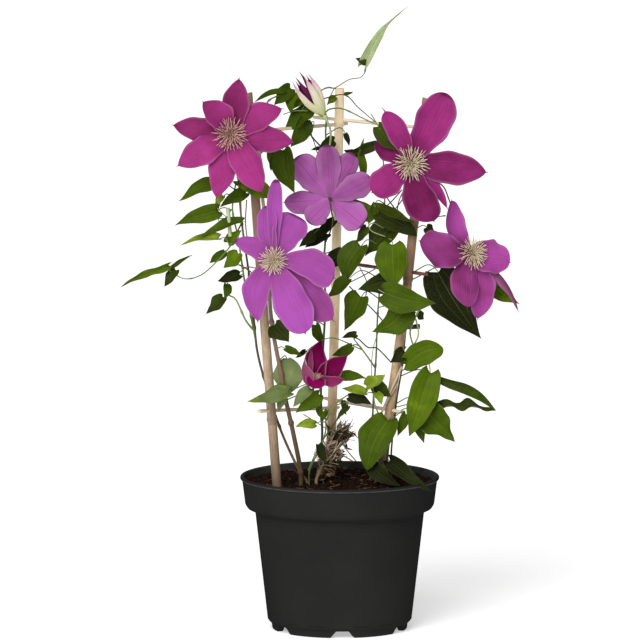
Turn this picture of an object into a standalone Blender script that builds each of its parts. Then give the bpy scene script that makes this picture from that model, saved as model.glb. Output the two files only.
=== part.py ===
"""A clematis in a black nursery pot, trained on a folding rack of three bamboo canes.

Metres, +Z up. The origin is the middle of the pot's underside, on the surface that it stands on.
The canes, stems, leaves and blooms are drawn on a front plan in millimetres, seen from VIEW_TILT
above: u runs to the right of the pot's axis, v runs up the plan from the pot's foot, and d is the
depth behind the axis.
"""

import math

import bmesh
import bpy
import numpy as np

MM = 0.001
VIEW_TILT = math.radians(8.5)
GAP = 0.3

# Pot, in millimetres
POT_SIDES = 28
RIM_RADIUS = 85.4
POT_HEIGHT = 131.5
WALL = 1.6
BAND_TOP_RADIUS = 83.2
BAND_FOOT_RADIUS = 80.6
BAND_FOOT_Z = 107.5
BODY_TOP_RADIUS = 72.2
BODY_TOP_Z = 102.0
BODY_FOOT_RADIUS = 61.4
BODY_FOOT_Z = 8.4
FOOT_RADIUS = 58.0
FOOT_RING_WIDTH = 6.0
FOOT_HEIGHT = 4.8
FLOOR_TOP = 6.4
PAD_RADIUS = 14.0
NOTCH_COUNT = 6
NOTCH_WIDTH = 21.0
NOTCH_HEIGHT = 4.2

# Soil
SOIL_Z = 125.0
SOIL_RADIUS = 79.8
SOIL_CLEARANCE = 0.9
SOIL_LUMP = 1.2
SOIL_SIDES = 20
ROOT_DEPTH = 10.0

# Canes: a point at the soil, one halfway and one at the top, as x, y, z. Knots are shares of the length
CANE_RADIUS = 4.0
CANE_SIDES = 8
CANE_SINK = 95.0
CANE_KNOTS = (0.36, 0.64, 0.93)
KNOT_SWELL = 1.14
KNOT_HALF_HEIGHT = 0.006
CANE_TOP_TAPER = 0.97
DRILL_REACH = 9.0
CANES = {
    "cane_left": ((-53, -28, 122), (-66, -21.5, 292), (-78, -15, 462)),
    "cane_back": ((-8, 38, 122), (-3.5, 39, 290), (0, 40, 459)),
    "cane_right": ((33, -4, 122), (56, 3, 280), (74, 10, 454)),
}

# Rungs: name, the canes they join, their height at each, and how far they stick out
RUNG_RADIUS = 1.5
RUNG_HOLE = 0.35
RUNGS = {
    "rung_low_left": ("cane_left", "cane_back", 191, 184, 17, 9),
    "rung_low_right": ("cane_back", "cane_right", 191, 188, 9, 15),
    "rung_middle_left": ("cane_left", "cane_back", 306, 303, 10, 9),
    "rung_middle_right": ("cane_back", "cane_right", 310, 306, 9, 19),
    "rung_top_left": ("cane_left", "cane_back", 424, 424, 10, 9),
    "rung_top_right": ("cane_back", "cane_right", 432, 429, 24, 12),
}

# Clip that holds a stem to the right cane
CLIP_Z = 259.0
CLIP_REACH = (7.0, 11.5)
CLIP_HEIGHT = 2.6
CLIP_WALL = 1.4

# Blades
LEAF_THICKNESS = 0.7
LEAF_STATIONS = np.array([0, 0.09, 0.34, 0.68, 1])
LEAF_OUTLINE = np.array([0, 0.7, 1, 0.6, 0])
LEAF_LOBE = 0.07
LEAF_FOLD = 0.2
LEAF_ARCH = 0.07
LEAF_WAVE = 0.08
STALK_RADIUS = 0.65
STALK_THICKNESS = 1.1
PEDICEL_RADIUS = 1.0
TEPAL_THICKNESS = 0.7
TEPAL_STATIONS = np.array([0, 0.2, 0.5, 0.82, 1])
TEPAL_POINTED = np.array([0.22, 0.6, 1, 0.62, 0])
TEPAL_BLUNT = np.array([0.22, 0.55, 0.96, 0.96, 0])
TEPAL_FOLD = 0.14
TEPAL_ARCH = 0.04
TEPAL_WAVE = 0.06
HALF_OPEN_ARCH = 0.1
UPPER_LAYER = -0.6
LOWER_LAYER = -1.8
RECEPTACLE_RADIUS = 3.4
RECEPTACLE_BACK = 3.0
RECEPTACLE_FRONT = 1.2
STAMEN_RINGS = ((4, 72, 8.0, 0.8), (6, 52, 12.0, 1.6), (8, 30, 14.0, 2.4))

# Colours
POT_BLACK = (0.024, 0.024, 0.025)
SOIL_BROWN = (0.045, 0.022, 0.015)
CANE_COLOURS = {
    "cane_left": (0.36, 0.22, 0.13),
    "cane_back": (0.62, 0.42, 0.22),
    "cane_right": (0.46, 0.29, 0.15),
}
RUNG_CREAM = (0.72, 0.56, 0.38)
LEAF_GREEN = (0.075, 0.16, 0.03)
STAMEN_CREAM = (0.76, 0.62, 0.42)
DRY_BROWN = (0.2, 0.12, 0.07)


# The front plan


def place(u, v, d):
    """World point of a plan point."""
    return np.array([u, d, (v - d * math.sin(VIEW_TILT)) / math.cos(VIEW_TILT)], float)


def route(points):
    """World points of a list of plan points."""
    return np.array([place(*p) for p in points])


def unit(vector):
    """The vector at length one."""
    return vector / max(np.linalg.norm(vector), 1e-12)


def square(vector, axis):
    """The part of the vector that is square to a unit axis, at length one."""
    return unit(vector - axis * np.dot(vector, axis))


def turned(vector, axis, degrees):
    """A vector that is square to a unit axis, turned about it."""
    angle = math.radians(degrees)
    return vector * math.cos(angle) + np.cross(axis, vector) * math.sin(angle)


def smooth(points, spacing):
    """Catmull-Rom curve through the points, read about every spacing."""
    points = np.asarray(points, float)
    padded = np.vstack([2 * points[0] - points[1], points, 2 * points[-1] - points[-2]])
    rows = []
    for i in range(len(points) - 1):
        a, b, c, e = padded[i : i + 4]
        count = max(1, round(np.linalg.norm(c - b) / spacing))
        t = np.arange(count)[:, None] / count
        quadratic = 2 * a - 5 * b + 4 * c - e
        cubic = 3 * b - a - 3 * c + e
        rows.append(b + 0.5 * ((c - a) * t + quadratic * t**2 + cubic * t**3))
    rows.append(points[-1:])
    return np.vstack(rows)


# Solids


def material(name, colour, roughness):
    """A plain finish."""
    made = bpy.data.materials.new(name)
    made.use_nodes = True
    shader = made.node_tree.nodes["Principled BSDF"]
    shader.inputs["Base Color"].default_value = (*colour, 1)
    shader.inputs["Roughness"].default_value = roughness
    return made


def solid(name, points, faces):
    """An object from points in millimetres and faces, with its faces turned outwards."""
    mesh = bpy.data.meshes.new(name)
    mesh.from_pydata([tuple(p) for p in np.asarray(points) * MM], [], faces)
    work = bmesh.new()
    work.from_mesh(mesh)
    bmesh.ops.remove_doubles(work, verts=work.verts, dist=1e-6)
    bmesh.ops.triangulate(work, faces=work.faces)
    bmesh.ops.recalc_face_normals(work, faces=work.faces)
    work.to_mesh(mesh)
    work.free()
    made = bpy.data.objects.new(name, mesh)
    bpy.context.scene.collection.objects.link(made)
    return made


def boolean(target, operation, others, solver="EXACT"):
    """Joins the others to the target, or cuts them from it, and removes them."""
    tools = bpy.data.collections.new("tools")
    bpy.context.scene.collection.children.link(tools)
    for other in others:
        bpy.context.scene.collection.objects.unlink(other)
        tools.objects.link(other)
    modifier = target.modifiers.new(operation.lower(), "BOOLEAN")
    modifier.operation = operation
    modifier.solver = solver
    modifier.operand_type = "COLLECTION"
    modifier.collection = tools
    bpy.context.view_layer.update()
    graph = bpy.context.evaluated_depsgraph_get()
    result = bpy.data.meshes.new_from_object(target.evaluated_get(graph))
    target.modifiers.clear()
    target.data = result
    for other in others:
        bpy.data.objects.remove(other)
    bpy.data.collections.remove(tools)


def keep_largest(made):
    """Drops loose scraps and sealed hollows: only the skin with the most faces stays."""
    work = bmesh.new()
    work.from_mesh(made.data)
    bmesh.ops.triangulate(work, faces=work.faces)
    bmesh.ops.dissolve_degenerate(work, dist=2e-7, edges=work.edges)
    bmesh.ops.triangulate(work, faces=work.faces)
    left = set(work.faces)
    skins = []
    while left:
        skin = set()
        front = {left.pop()}
        while front:
            skin |= front
            front = {f for face in front for e in face.edges for f in e.link_faces} - skin
        left -= skin
        skins.append(skin)
    largest = max(skins, key=len)
    bmesh.ops.delete(work, geom=[f for f in work.faces if f not in largest], context="FACES")
    work.to_mesh(made.data)
    work.free()
    return [len(skin) for skin in skins if skin is not largest]


def finish(made, name, look, smooth_angle=40):
    """Names a solid, gives it its finish and shades it."""
    made.name = name
    made.data.name = name
    made.data.materials.clear()
    made.data.materials.append(look)
    made.data.shade_smooth()
    made.data.set_sharp_from_angle(angle=math.radians(smooth_angle))
    return made


def fuse(name, pieces, look):
    """One body of many pieces that run into each other."""
    first = pieces[0]
    boolean(first, "UNION", pieces[1:], "MANIFOLD")
    dropped = keep_largest(first)
    if dropped:
        print(name, "lost skins with this many faces:", dropped)
    return finish(first, name, look)


def tube(points, radii, sides):
    """A closed tube along the points, whose rings are carried on without twist."""
    points = np.asarray(points, float)
    radii = np.broadcast_to(radii, len(points))
    directions = np.gradient(points, axis=0)
    across = unit(np.cross(unit(directions[0]), (0.31, 0.83, 0.46)))
    angles = np.arange(sides) * 2 * math.pi / sides
    rings = []
    for point, direction, radius in zip(points, directions, radii):
        direction = unit(direction)
        across = square(across, direction)
        other = np.cross(direction, across)
        rings.append(point + radius * (np.cos(angles)[:, None] * across + np.sin(angles)[:, None] * other))
    faces = [tuple(reversed(range(sides)))]
    for i in range(len(points) - 1):
        for j in range(sides):
            k = (j + 1) % sides
            a, b = i * sides, (i + 1) * sides
            faces.append((a + j, a + k, b + k, b + j))
    faces.append(tuple(range((len(points) - 1) * sides, len(points) * sides)))
    return solid("tube", np.vstack(rings), faces)


def turned_solid(profile, sides):
    """A profile of (radius, height) points, from the axis round to the axis, turned round Z."""
    angles = (np.arange(sides) + 0.5) * 2 * math.pi / sides
    points = [(r * math.cos(a), r * math.sin(a), z) for a in angles for r, z in profile]
    count = len(profile)
    faces = []
    for i in range(sides):
        n = (i + 1) % sides
        for j in range(count - 1):
            faces.append((i * count + j, i * count + j + 1, n * count + j + 1, n * count + j))
    return solid("turned", points, faces)


def carried(vector, before, after):
    """A vector turned by the least turn that takes one unit direction to another."""
    axis = np.cross(before, after)
    cosine = np.dot(before, after)
    return vector * cosine + np.cross(axis, vector) + axis * np.dot(axis, vector) / (1.001 + cosine)


def sheet(middle, thickness):
    """A closed blade from a grid of points: each row is thickened by its own amount, both ways.

    Both faces are split into the same triangles. A row of no width or thickness closes to a point.
    """
    along = np.gradient(middle, axis=0)
    across = np.gradient(middle, axis=1)
    normals = np.cross(across, along)
    normals /= np.maximum(np.linalg.norm(normals, axis=2, keepdims=True), 1e-9)
    offset = normals * np.asarray(thickness)[:, None, None] / 2
    rows, columns = middle.shape[:2]
    half = rows * columns
    points = np.vstack([(middle + offset).reshape(-1, 3), (middle - offset).reshape(-1, 3)])
    faces = []
    for i in range(rows - 1):
        for j in range(columns - 1):
            a, b = i * columns + j, i * columns + j + 1
            c, e = b + columns, a + columns
            split = ((a, b, e), (b, c, e)) if j < columns // 2 else ((a, b, c), (a, c, e))
            for face in split:
                faces += [face, tuple(half + p for p in reversed(face))]
    edge = list(range(columns))
    edge += [i * columns + columns - 1 for i in range(1, rows)]
    edge += [(rows - 1) * columns + j for j in range(columns - 2, -1, -1)]
    edge += [i * columns for i in range(rows - 2, 0, -1)]
    for a, b in zip(edge, edge[1:] + edge[:1]):
        faces.append((a, half + a, half + b, b))
    return solid("blade", points, faces)


def blade_grid(base, tip, normal, stations, halves, fold, arch, wave, lobe):
    """Three rows of points across, from base to tip: halves are the half widths at the stations.

    The edges rise by fold times the half width and wave up and down in turn, the midrib rises by
    arch times the length, and the first lobes reach back past the base.
    """
    axis = unit(tip - base)
    length = np.linalg.norm(tip - base)
    up = square(normal, axis)
    side = np.cross(axis, up)
    t = np.array([-1, 0, 1])[None, :, None]
    s = stations[:, None, None]
    half = halves[:, None, None]
    middle = base + (tip - base) * s + up * arch * length * np.sin(math.pi * s)
    number = np.arange(len(stations))
    sign = np.where(number % 2, 1, -1)[:, None, None]
    back = np.where(number == 1, lobe * length, 0)[:, None, None]
    lift = fold * half * np.abs(t) + wave * half * sign * t
    return middle + side * half * t + up * lift - axis * back * np.abs(t)


# Pot, soil, canes


def make_pot():
    """The pot: a tapered body, a thicker band with a rolled lip, and a ring of feet."""
    outer = [
        (0, 0),
        (PAD_RADIUS, 0),
        (PAD_RADIUS, FOOT_HEIGHT),
        (FOOT_RADIUS - FOOT_RING_WIDTH, FOOT_HEIGHT),
        (FOOT_RADIUS - FOOT_RING_WIDTH, 0),
        (FOOT_RADIUS - 0.6, 0),
        (FOOT_RADIUS, FOOT_HEIGHT),
        (BODY_FOOT_RADIUS, BODY_FOOT_Z),
        (BODY_TOP_RADIUS, BODY_TOP_Z),
        (BODY_TOP_RADIUS + 2.4, BODY_TOP_Z + 1.6),
        (BAND_FOOT_RADIUS - 2.0, BAND_FOOT_Z - 3.4),
        (BAND_FOOT_RADIUS, BAND_FOOT_Z),
        (BAND_TOP_RADIUS, POT_HEIGHT - 3.4),
        (RIM_RADIUS, POT_HEIGHT - 2.8),
        (RIM_RADIUS, POT_HEIGHT - 0.8),
        (RIM_RADIUS - 0.8, POT_HEIGHT),
    ]
    inner = [
        (RIM_RADIUS - 3.0, POT_HEIGHT),
        (BAND_TOP_RADIUS - WALL, POT_HEIGHT - 1.6),
        (BAND_FOOT_RADIUS - WALL, BAND_FOOT_Z + 0.4),
        (BAND_FOOT_RADIUS - 3.4, BAND_FOOT_Z - 1.8),
        (BODY_TOP_RADIUS + 1.0, BODY_TOP_Z + 3.2),
        (BODY_TOP_RADIUS - WALL, BODY_TOP_Z + 1.2),
        (BODY_FOOT_RADIUS - WALL, BODY_FOOT_Z + 0.8),
        (FOOT_RADIUS - WALL, FLOOR_TOP),
        (0, FLOOR_TOP),
    ]
    pot = turned_solid(outer + inner, POT_SIDES)
    notches = []
    for k in range(NOTCH_COUNT):
        angle = math.tau * k / NOTCH_COUNT - math.pi / 2
        out = np.array([math.cos(angle), math.sin(angle), 0])
        across = np.array([-out[1], out[0], 0]) * NOTCH_WIDTH / 2
        low = np.array([0, 0, -2.0])
        top = np.array([0, 0, NOTCH_HEIGHT])
        near = out * (FOOT_RADIUS - 2 * FOOT_RING_WIDTH)
        far = out * (FOOT_RADIUS + 4)
        corners = [near - across, near + across, far + across, far - across]
        points = [c + low for c in corners] + [c + top for c in corners]
        sides = [(i, (i + 1) % 4, (i + 1) % 4 + 4, i + 4) for i in range(4)]
        notches.append(solid("notch", points, [(3, 2, 1, 0), (4, 5, 6, 7)] + sides))
    boolean(pot, "DIFFERENCE", notches)
    return finish(pot, "pot", material("pot_plastic", POT_BLACK, 0.5), 30)


def cane_path(name):
    """The cane's middle line as a function of height."""
    low, middle, top = np.array(CANES[name], float)
    lean = (middle - low) / (middle[2] - low[2])
    foot = low - lean * CANE_SINK
    return np.array([foot, low, middle, top])


def cane_point(name, z):
    """Where the cane's middle line is at a height."""
    path = cane_path(name)
    return np.array([np.interp(z, path[:, 2], path[:, k]) for k in range(3)])


def make_cane(name):
    """A bamboo cane: straight lengths with a ridge at each knot, drilled for its rungs."""
    path = cane_path(name)
    bottom, top = path[0, 2], path[-1, 2]
    ring = [(0.0, 1.0)]
    for knot in CANE_KNOTS:
        ring += [(knot - KNOT_HALF_HEIGHT, 1.0), (knot, KNOT_SWELL), (knot + KNOT_HALF_HEIGHT, 1.0)]
    ring.append((1.0, CANE_TOP_TAPER))
    points = [cane_point(name, bottom + s * (top - bottom)) for s, _ in ring]
    cane = tube(points, [CANE_RADIUS * r for _, r in ring], CANE_SIDES)
    drills = []
    for first, second, z_first, z_second, _, _ in RUNGS.values():
        if name in (first, second):
            a, b = cane_point(first, z_first), cane_point(second, z_second)
            middle = a if name == first else b
            along = unit(b - a)
            ends = [middle - along * DRILL_REACH, middle + along * DRILL_REACH]
            drills.append(tube(ends, RUNG_RADIUS + RUNG_HOLE, 6))
    boolean(cane, "DIFFERENCE", drills)
    return finish(cane, name, material(name + "_bamboo", CANE_COLOURS[name], 0.6))


def make_rung(name, look):
    """A thin stick through two canes."""
    first, second, z_first, z_second, stub_first, stub_second = RUNGS[name]
    a, b = cane_point(first, z_first), cane_point(second, z_second)
    along = unit(b - a)
    ends = [a - along * stub_first, b + along * stub_second]
    return finish(tube(ends, RUNG_RADIUS, 6), name, look)


def make_clip():
    """A flat plastic loop round the right cane and the stem beside it."""
    centre = cane_point("cane_right", CLIP_Z)
    half = CANE_RADIUS * KNOT_SWELL + GAP
    loops = []
    for grow in (CLIP_WALL, 0):
        radius = half + grow
        left = [(-CLIP_REACH[0] + half, math.pi / 2 + a) for a in np.linspace(0, math.pi, 5)]
        right = [(CLIP_REACH[1] - half, a - math.pi / 2) for a in np.linspace(0, math.pi, 5)]
        loops.append([(x + radius * math.cos(a), radius * math.sin(a)) for x, a in right + left])
    outer, inner = loops
    count = len(outer)
    points = []
    for z in (-CLIP_HEIGHT / 2, CLIP_HEIGHT / 2):
        points += [centre + np.array([x, y, z]) for x, y in outer + inner]
    faces = []
    for i in range(count):
        k = (i + 1) % count
        low, high = 0, 2 * count
        faces.append((low + i, low + k, high + k, high + i))
        faces.append((low + count + k, low + count + i, high + count + i, high + count + k))
        faces.append((low + k, low + i, low + count + i, low + count + k))
        faces.append((high + i, high + k, high + count + k, high + count + i))
    return finish(solid("clip", points, faces), "clip", material("clip_plastic", POT_BLACK, 0.4))


def soil_height(x, y):
    """The lumpy top of the soil: three crossed waves."""
    long_wave = math.sin(0.13 * (x + y))
    cross_wave = math.sin(0.21 * x + 1.3) * math.cos(0.17 * y)
    short_wave = math.cos(0.31 * x - 0.24 * y)
    return SOIL_Z + SOIL_LUMP * (long_wave + cross_wave + short_wave) / 2


def make_soil(holes):
    """Potting soil that fills the pot, with a lumpy top and a plain hole for each cane and stem."""
    side = [
        (FOOT_RADIUS - WALL - 2.2, FLOOR_TOP + GAP),
        (BODY_FOOT_RADIUS - WALL - SOIL_CLEARANCE, BODY_FOOT_Z + 1.4),
        (BODY_TOP_RADIUS - WALL - SOIL_CLEARANCE, BODY_TOP_Z),
        (BODY_TOP_RADIUS - WALL - SOIL_CLEARANCE, BODY_TOP_Z + 4.2),
        (BAND_FOOT_RADIUS - WALL - 2.2 * SOIL_CLEARANCE, BAND_FOOT_Z + 1.8),
        (SOIL_RADIUS, SOIL_Z - 2.0),
    ]
    top = [(SOIL_RADIUS * k, None) for k in (0.9, 0.62, 0.32)]
    rings = side + top
    angles = np.arange(SOIL_SIDES) * math.tau / SOIL_SIDES
    points = []
    for radius, z in rings:
        for a in angles:
            x, y = radius * math.cos(a), radius * math.sin(a)
            points.append((x, y, soil_height(x, y) if z is None else z))
    faces = [tuple(reversed(range(SOIL_SIDES)))]
    for i in range(len(rings) - 1):
        for j in range(SOIL_SIDES):
            k = (j + 1) % SOIL_SIDES
            a, b = i * SOIL_SIDES, (i + 1) * SOIL_SIDES
            faces.append((a + j, a + k, b + k, b + j))
    middle = len(points)
    points.append((0, 0, soil_height(0, 0)))
    last = (len(rings) - 1) * SOIL_SIDES
    faces += [(last + j, last + (j + 1) % SOIL_SIDES, middle) for j in range(SOIL_SIDES)]
    soil = solid("soil", points, faces)
    boolean(soil, "DIFFERENCE", holes)
    return finish(soil, "soil", material("soil_crumb", SOIL_BROWN, 0.95), 60)


def cane_hole(name):
    """A straight hole that the cane stands in."""
    path = cane_path(name)
    lean = unit(path[1] - path[0])
    ends = [path[0] - lean * GAP, path[1] + lean * 12]
    return tube(ends, CANE_RADIUS * KNOT_SWELL + GAP, CANE_SIDES)


def root_hole(foot, radius):
    """A plain upright hole for a stem."""
    low = np.array([foot[0], foot[1], SOIL_Z - ROOT_DEPTH - GAP])
    return tube([low, low + (0, 0, ROOT_DEPTH + 8)], radius + 0.5, 6)


# Blooms: centre on the plan, where the bloom looks (degrees round to the right, degrees up), and
# its tepals as tip u, tip v, how far the tip stands forward, width, bluntness and roll

BLOOMS = {
    "bloom_upper_left": {
        "centre": (-93, 419, -56),
        "looks": (4, 6),
        "colour": (0.4, 0.03, 0.21),
        "stamens": 1.0,
        "tepals": (
            (-85, 468, -3, 25, 0.1, 0),
            (-47, 441, 5, 25, 0.1, -8),
            (-37, 412, -2, 25, 0.1, 5),
            (-65, 368, 4, 27, 0.1, 0),
            (-105, 363, -3, 24, 0.1, 0),
            (-139, 391, 2, 25, 0.1, 6),
            (-143, 427, -3, 22, 0.1, -6),
            (-117, 446, 9, 23, 0.1, 8),
        ),
    },
    "bloom_upper_right": {
        "centre": (60, 395, -28),
        "looks": (5, 4),
        "colour": (0.36, 0.024, 0.19),
        "stamens": 1.05,
        "tepals": (
            (35, 443, 8, 18, 0.2, -20),
            (90, 455, 2, 32, 0.9, 0),
            (127, 387, 0, 30, 0.5, 0),
            (80, 344, 8, 31, 0.7, 12),
            (24, 372, 6, 27, 0.9, 0),
            (29, 415, -8, 24, 0.6, 10),
        ),
    },
    "bloom_middle": {
        "centre": (-8, 365, -6),
        "looks": (176, -4),
        "colour": (0.35, 0.11, 0.4),
        "stamens": 0.9,
        "tepals": (
            (-41, 392, 5, 29, 1.0, 0),
            (-10, 410, -1, 22, 0.8, 0),
            (12, 404, 6, 22, 0.9, 0),
            (30, 388, -1, 24, 0.8, 0),
            (21, 345, 4, 27, 1.0, 0),
            (-27, 344, -2, 21, 0.8, 0),
            (-48, 364, 4, 22, 0.7, 14),
        ),
    },
    "bloom_left": {
        "centre": (-56, 312, -64),
        "looks": (-6, 8),
        "colour": (0.44, 0.08, 0.44),
        "stamens": 0.92,
        "tepals": (
            (-55, 381, -2, 25, 0.5, -10),
            (-28, 343, -6, 24, 0.5, 0),
            (-4, 296, 4, 29, 0.7, 0),
            (-9, 262, -7, 28, 0.4, 8),
            (-29, 251, 4, 33, 0.8, 0),
            (-67, 261, -2, 25, 0.2, 0),
            (-89, 330, 5, 20, 0.4, 12),
        ),
    },
    "bloom_right": {
        "centre": (111, 319, -12),
        "looks": (28, 10),
        "colour": (0.4, 0.05, 0.36),
        "stamens": 0.95,
        "tepals": (
            (95, 366, 0, 22, 0.3, 25),
            (67, 340, 3, 26, 0.3, 0),
            (110, 271, 4, 25, 0.5, 0),
            (117, 261, -4, 20, 0.5, 0),
            (147, 307, 2, 27, 0.4, 0),
            (154, 267, -6, 13, 0.1, 50),
        ),
    },
}

HALF_OPEN = {
    "centre": (-21, 207, -34),
    "looks": (18, 38),
    "colour": (0.2, 0.005, 0.08),
    "tepals": (
        (-15, 247, 14, 17, 0.1, 0),
        (8, 233, 15, 14, 0.1, 0),
        (4, 207, 15, 14, 0.2, 0),
        (-32, 203, 16, 13, 0.2, 0),
        (-36, 217, 16, 12, 0.2, 0),
    ),
}

BUD = {
    "base": (-13, 435, 6),
    "tip": (-33, 470, 2),
    "radii": (1.2, 3.6, 5.0, 5.2, 4.0),
    "tips": ((-34, 472, 2), (-28, 471, 4), (-40, 464, 0)),
    "colour": (0.62, 0.6, 0.42),
}


def look_direction(looks):
    """Unit vector for degrees round to the right and degrees up; zero looks at the viewer."""
    turn, rise = np.radians(looks)
    return np.array([math.sin(turn) * math.cos(rise), -math.cos(turn) * math.cos(rise), math.sin(rise)])


def tip_point(u, v, forward, centre, axis):
    """The point seen at (u, v) that stands forward of the bloom's plane by the given distance."""
    near = place(u, v, 0)
    step = place(u, v, 1) - near
    return near + step * (forward - np.dot(axis, near - centre)) / np.dot(axis, step)


def receptacle(centre, axis):
    """The knob that carries a bloom's tepals."""
    ends = [centre - axis * RECEPTACLE_BACK, centre - axis, centre + axis * RECEPTACLE_FRONT]
    return tube(ends, (1.9, RECEPTACLE_RADIUS, 3.0), 6)


def make_tepals(bloom, arch=TEPAL_ARCH):
    """A bloom's tepals, in two layers, on the receptacle."""
    centre, axis = place(*bloom["centre"]), look_direction(bloom["looks"])
    pieces = [receptacle(centre, axis)]
    for i, (u, v, forward, width, blunt, roll) in enumerate(bloom["tepals"]):
        tip = tip_point(u, v, forward, centre, axis)
        layer = centre + axis * (UPPER_LAYER if forward > 0 else LOWER_LAYER)
        base = layer + square(tip - centre, axis) * 0.8
        outline = TEPAL_POINTED * (1 - blunt) + TEPAL_BLUNT * blunt
        normal = turned(square(axis, unit(tip - base)), unit(tip - base), roll)
        halves = outline * width / 2
        wave = TEPAL_WAVE if i % 2 else -TEPAL_WAVE
        grid = blade_grid(base, tip, normal, TEPAL_STATIONS, halves, TEPAL_FOLD, arch, wave, 0)
        pieces.append(sheet(grid, [TEPAL_THICKNESS] * (len(halves) - 1) + [0]))
    return pieces


def make_stamens(bloom):
    """The boss of stamens: rings of filaments that flatten outwards, on a small dome."""
    centre, axis = place(*bloom["centre"]), look_direction(bloom["looks"])
    size = bloom["stamens"]
    seat = centre + axis * (RECEPTACLE_FRONT + GAP)
    pieces = [tube([seat, seat + axis * 2.0, seat + axis * 3.6], (2.7, 2.5, 1.2), 6)]
    first = square(np.array([0.2, 0.1, 1.0]), axis)
    for ring, (count, rise, length, drop) in enumerate(STAMEN_RINGS):
        rise = math.radians(rise)
        for k in range(count):
            out = turned(first, axis, 360 * (k + 0.5 * (ring % 2)) / count)
            root = seat + axis * (3.0 - drop) + out * 0.6
            end = root + (out * math.cos(rise) + axis * math.sin(rise)) * length * size
            pieces.append(tube([root, end], (0.4, 0.6), 3))
    return pieces


def make_bud():
    """A bud about to open: a spindle whose pointed tips part."""
    base, tip = place(*BUD["base"]), place(*BUD["tip"])
    count = len(BUD["radii"])
    body = [base + (tip - base) * 0.16 * i for i in range(count)]
    pieces = [tube(body, BUD["radii"], 8)]
    axis = unit(tip - base)
    for point in BUD["tips"]:
        end = place(*point)
        side = square(end - base, axis)
        start = base + axis * 14 + side * 1.8
        pieces.append(tube([start, (start + end) / 2 + side * 0.8, end], (2.8, 2.2, 0.5), 5))
    return pieces


# Vines. Each has stems as a radius and plan points, of which the first stem is rooted in the soil;
# pedicels as a bloom's name and plan points; and leaves as base u, v, d, tip u, v, d, the width
# that the front view shows, the roll about the midrib and, where it isn't LEAF_ARCH, the arch.

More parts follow.
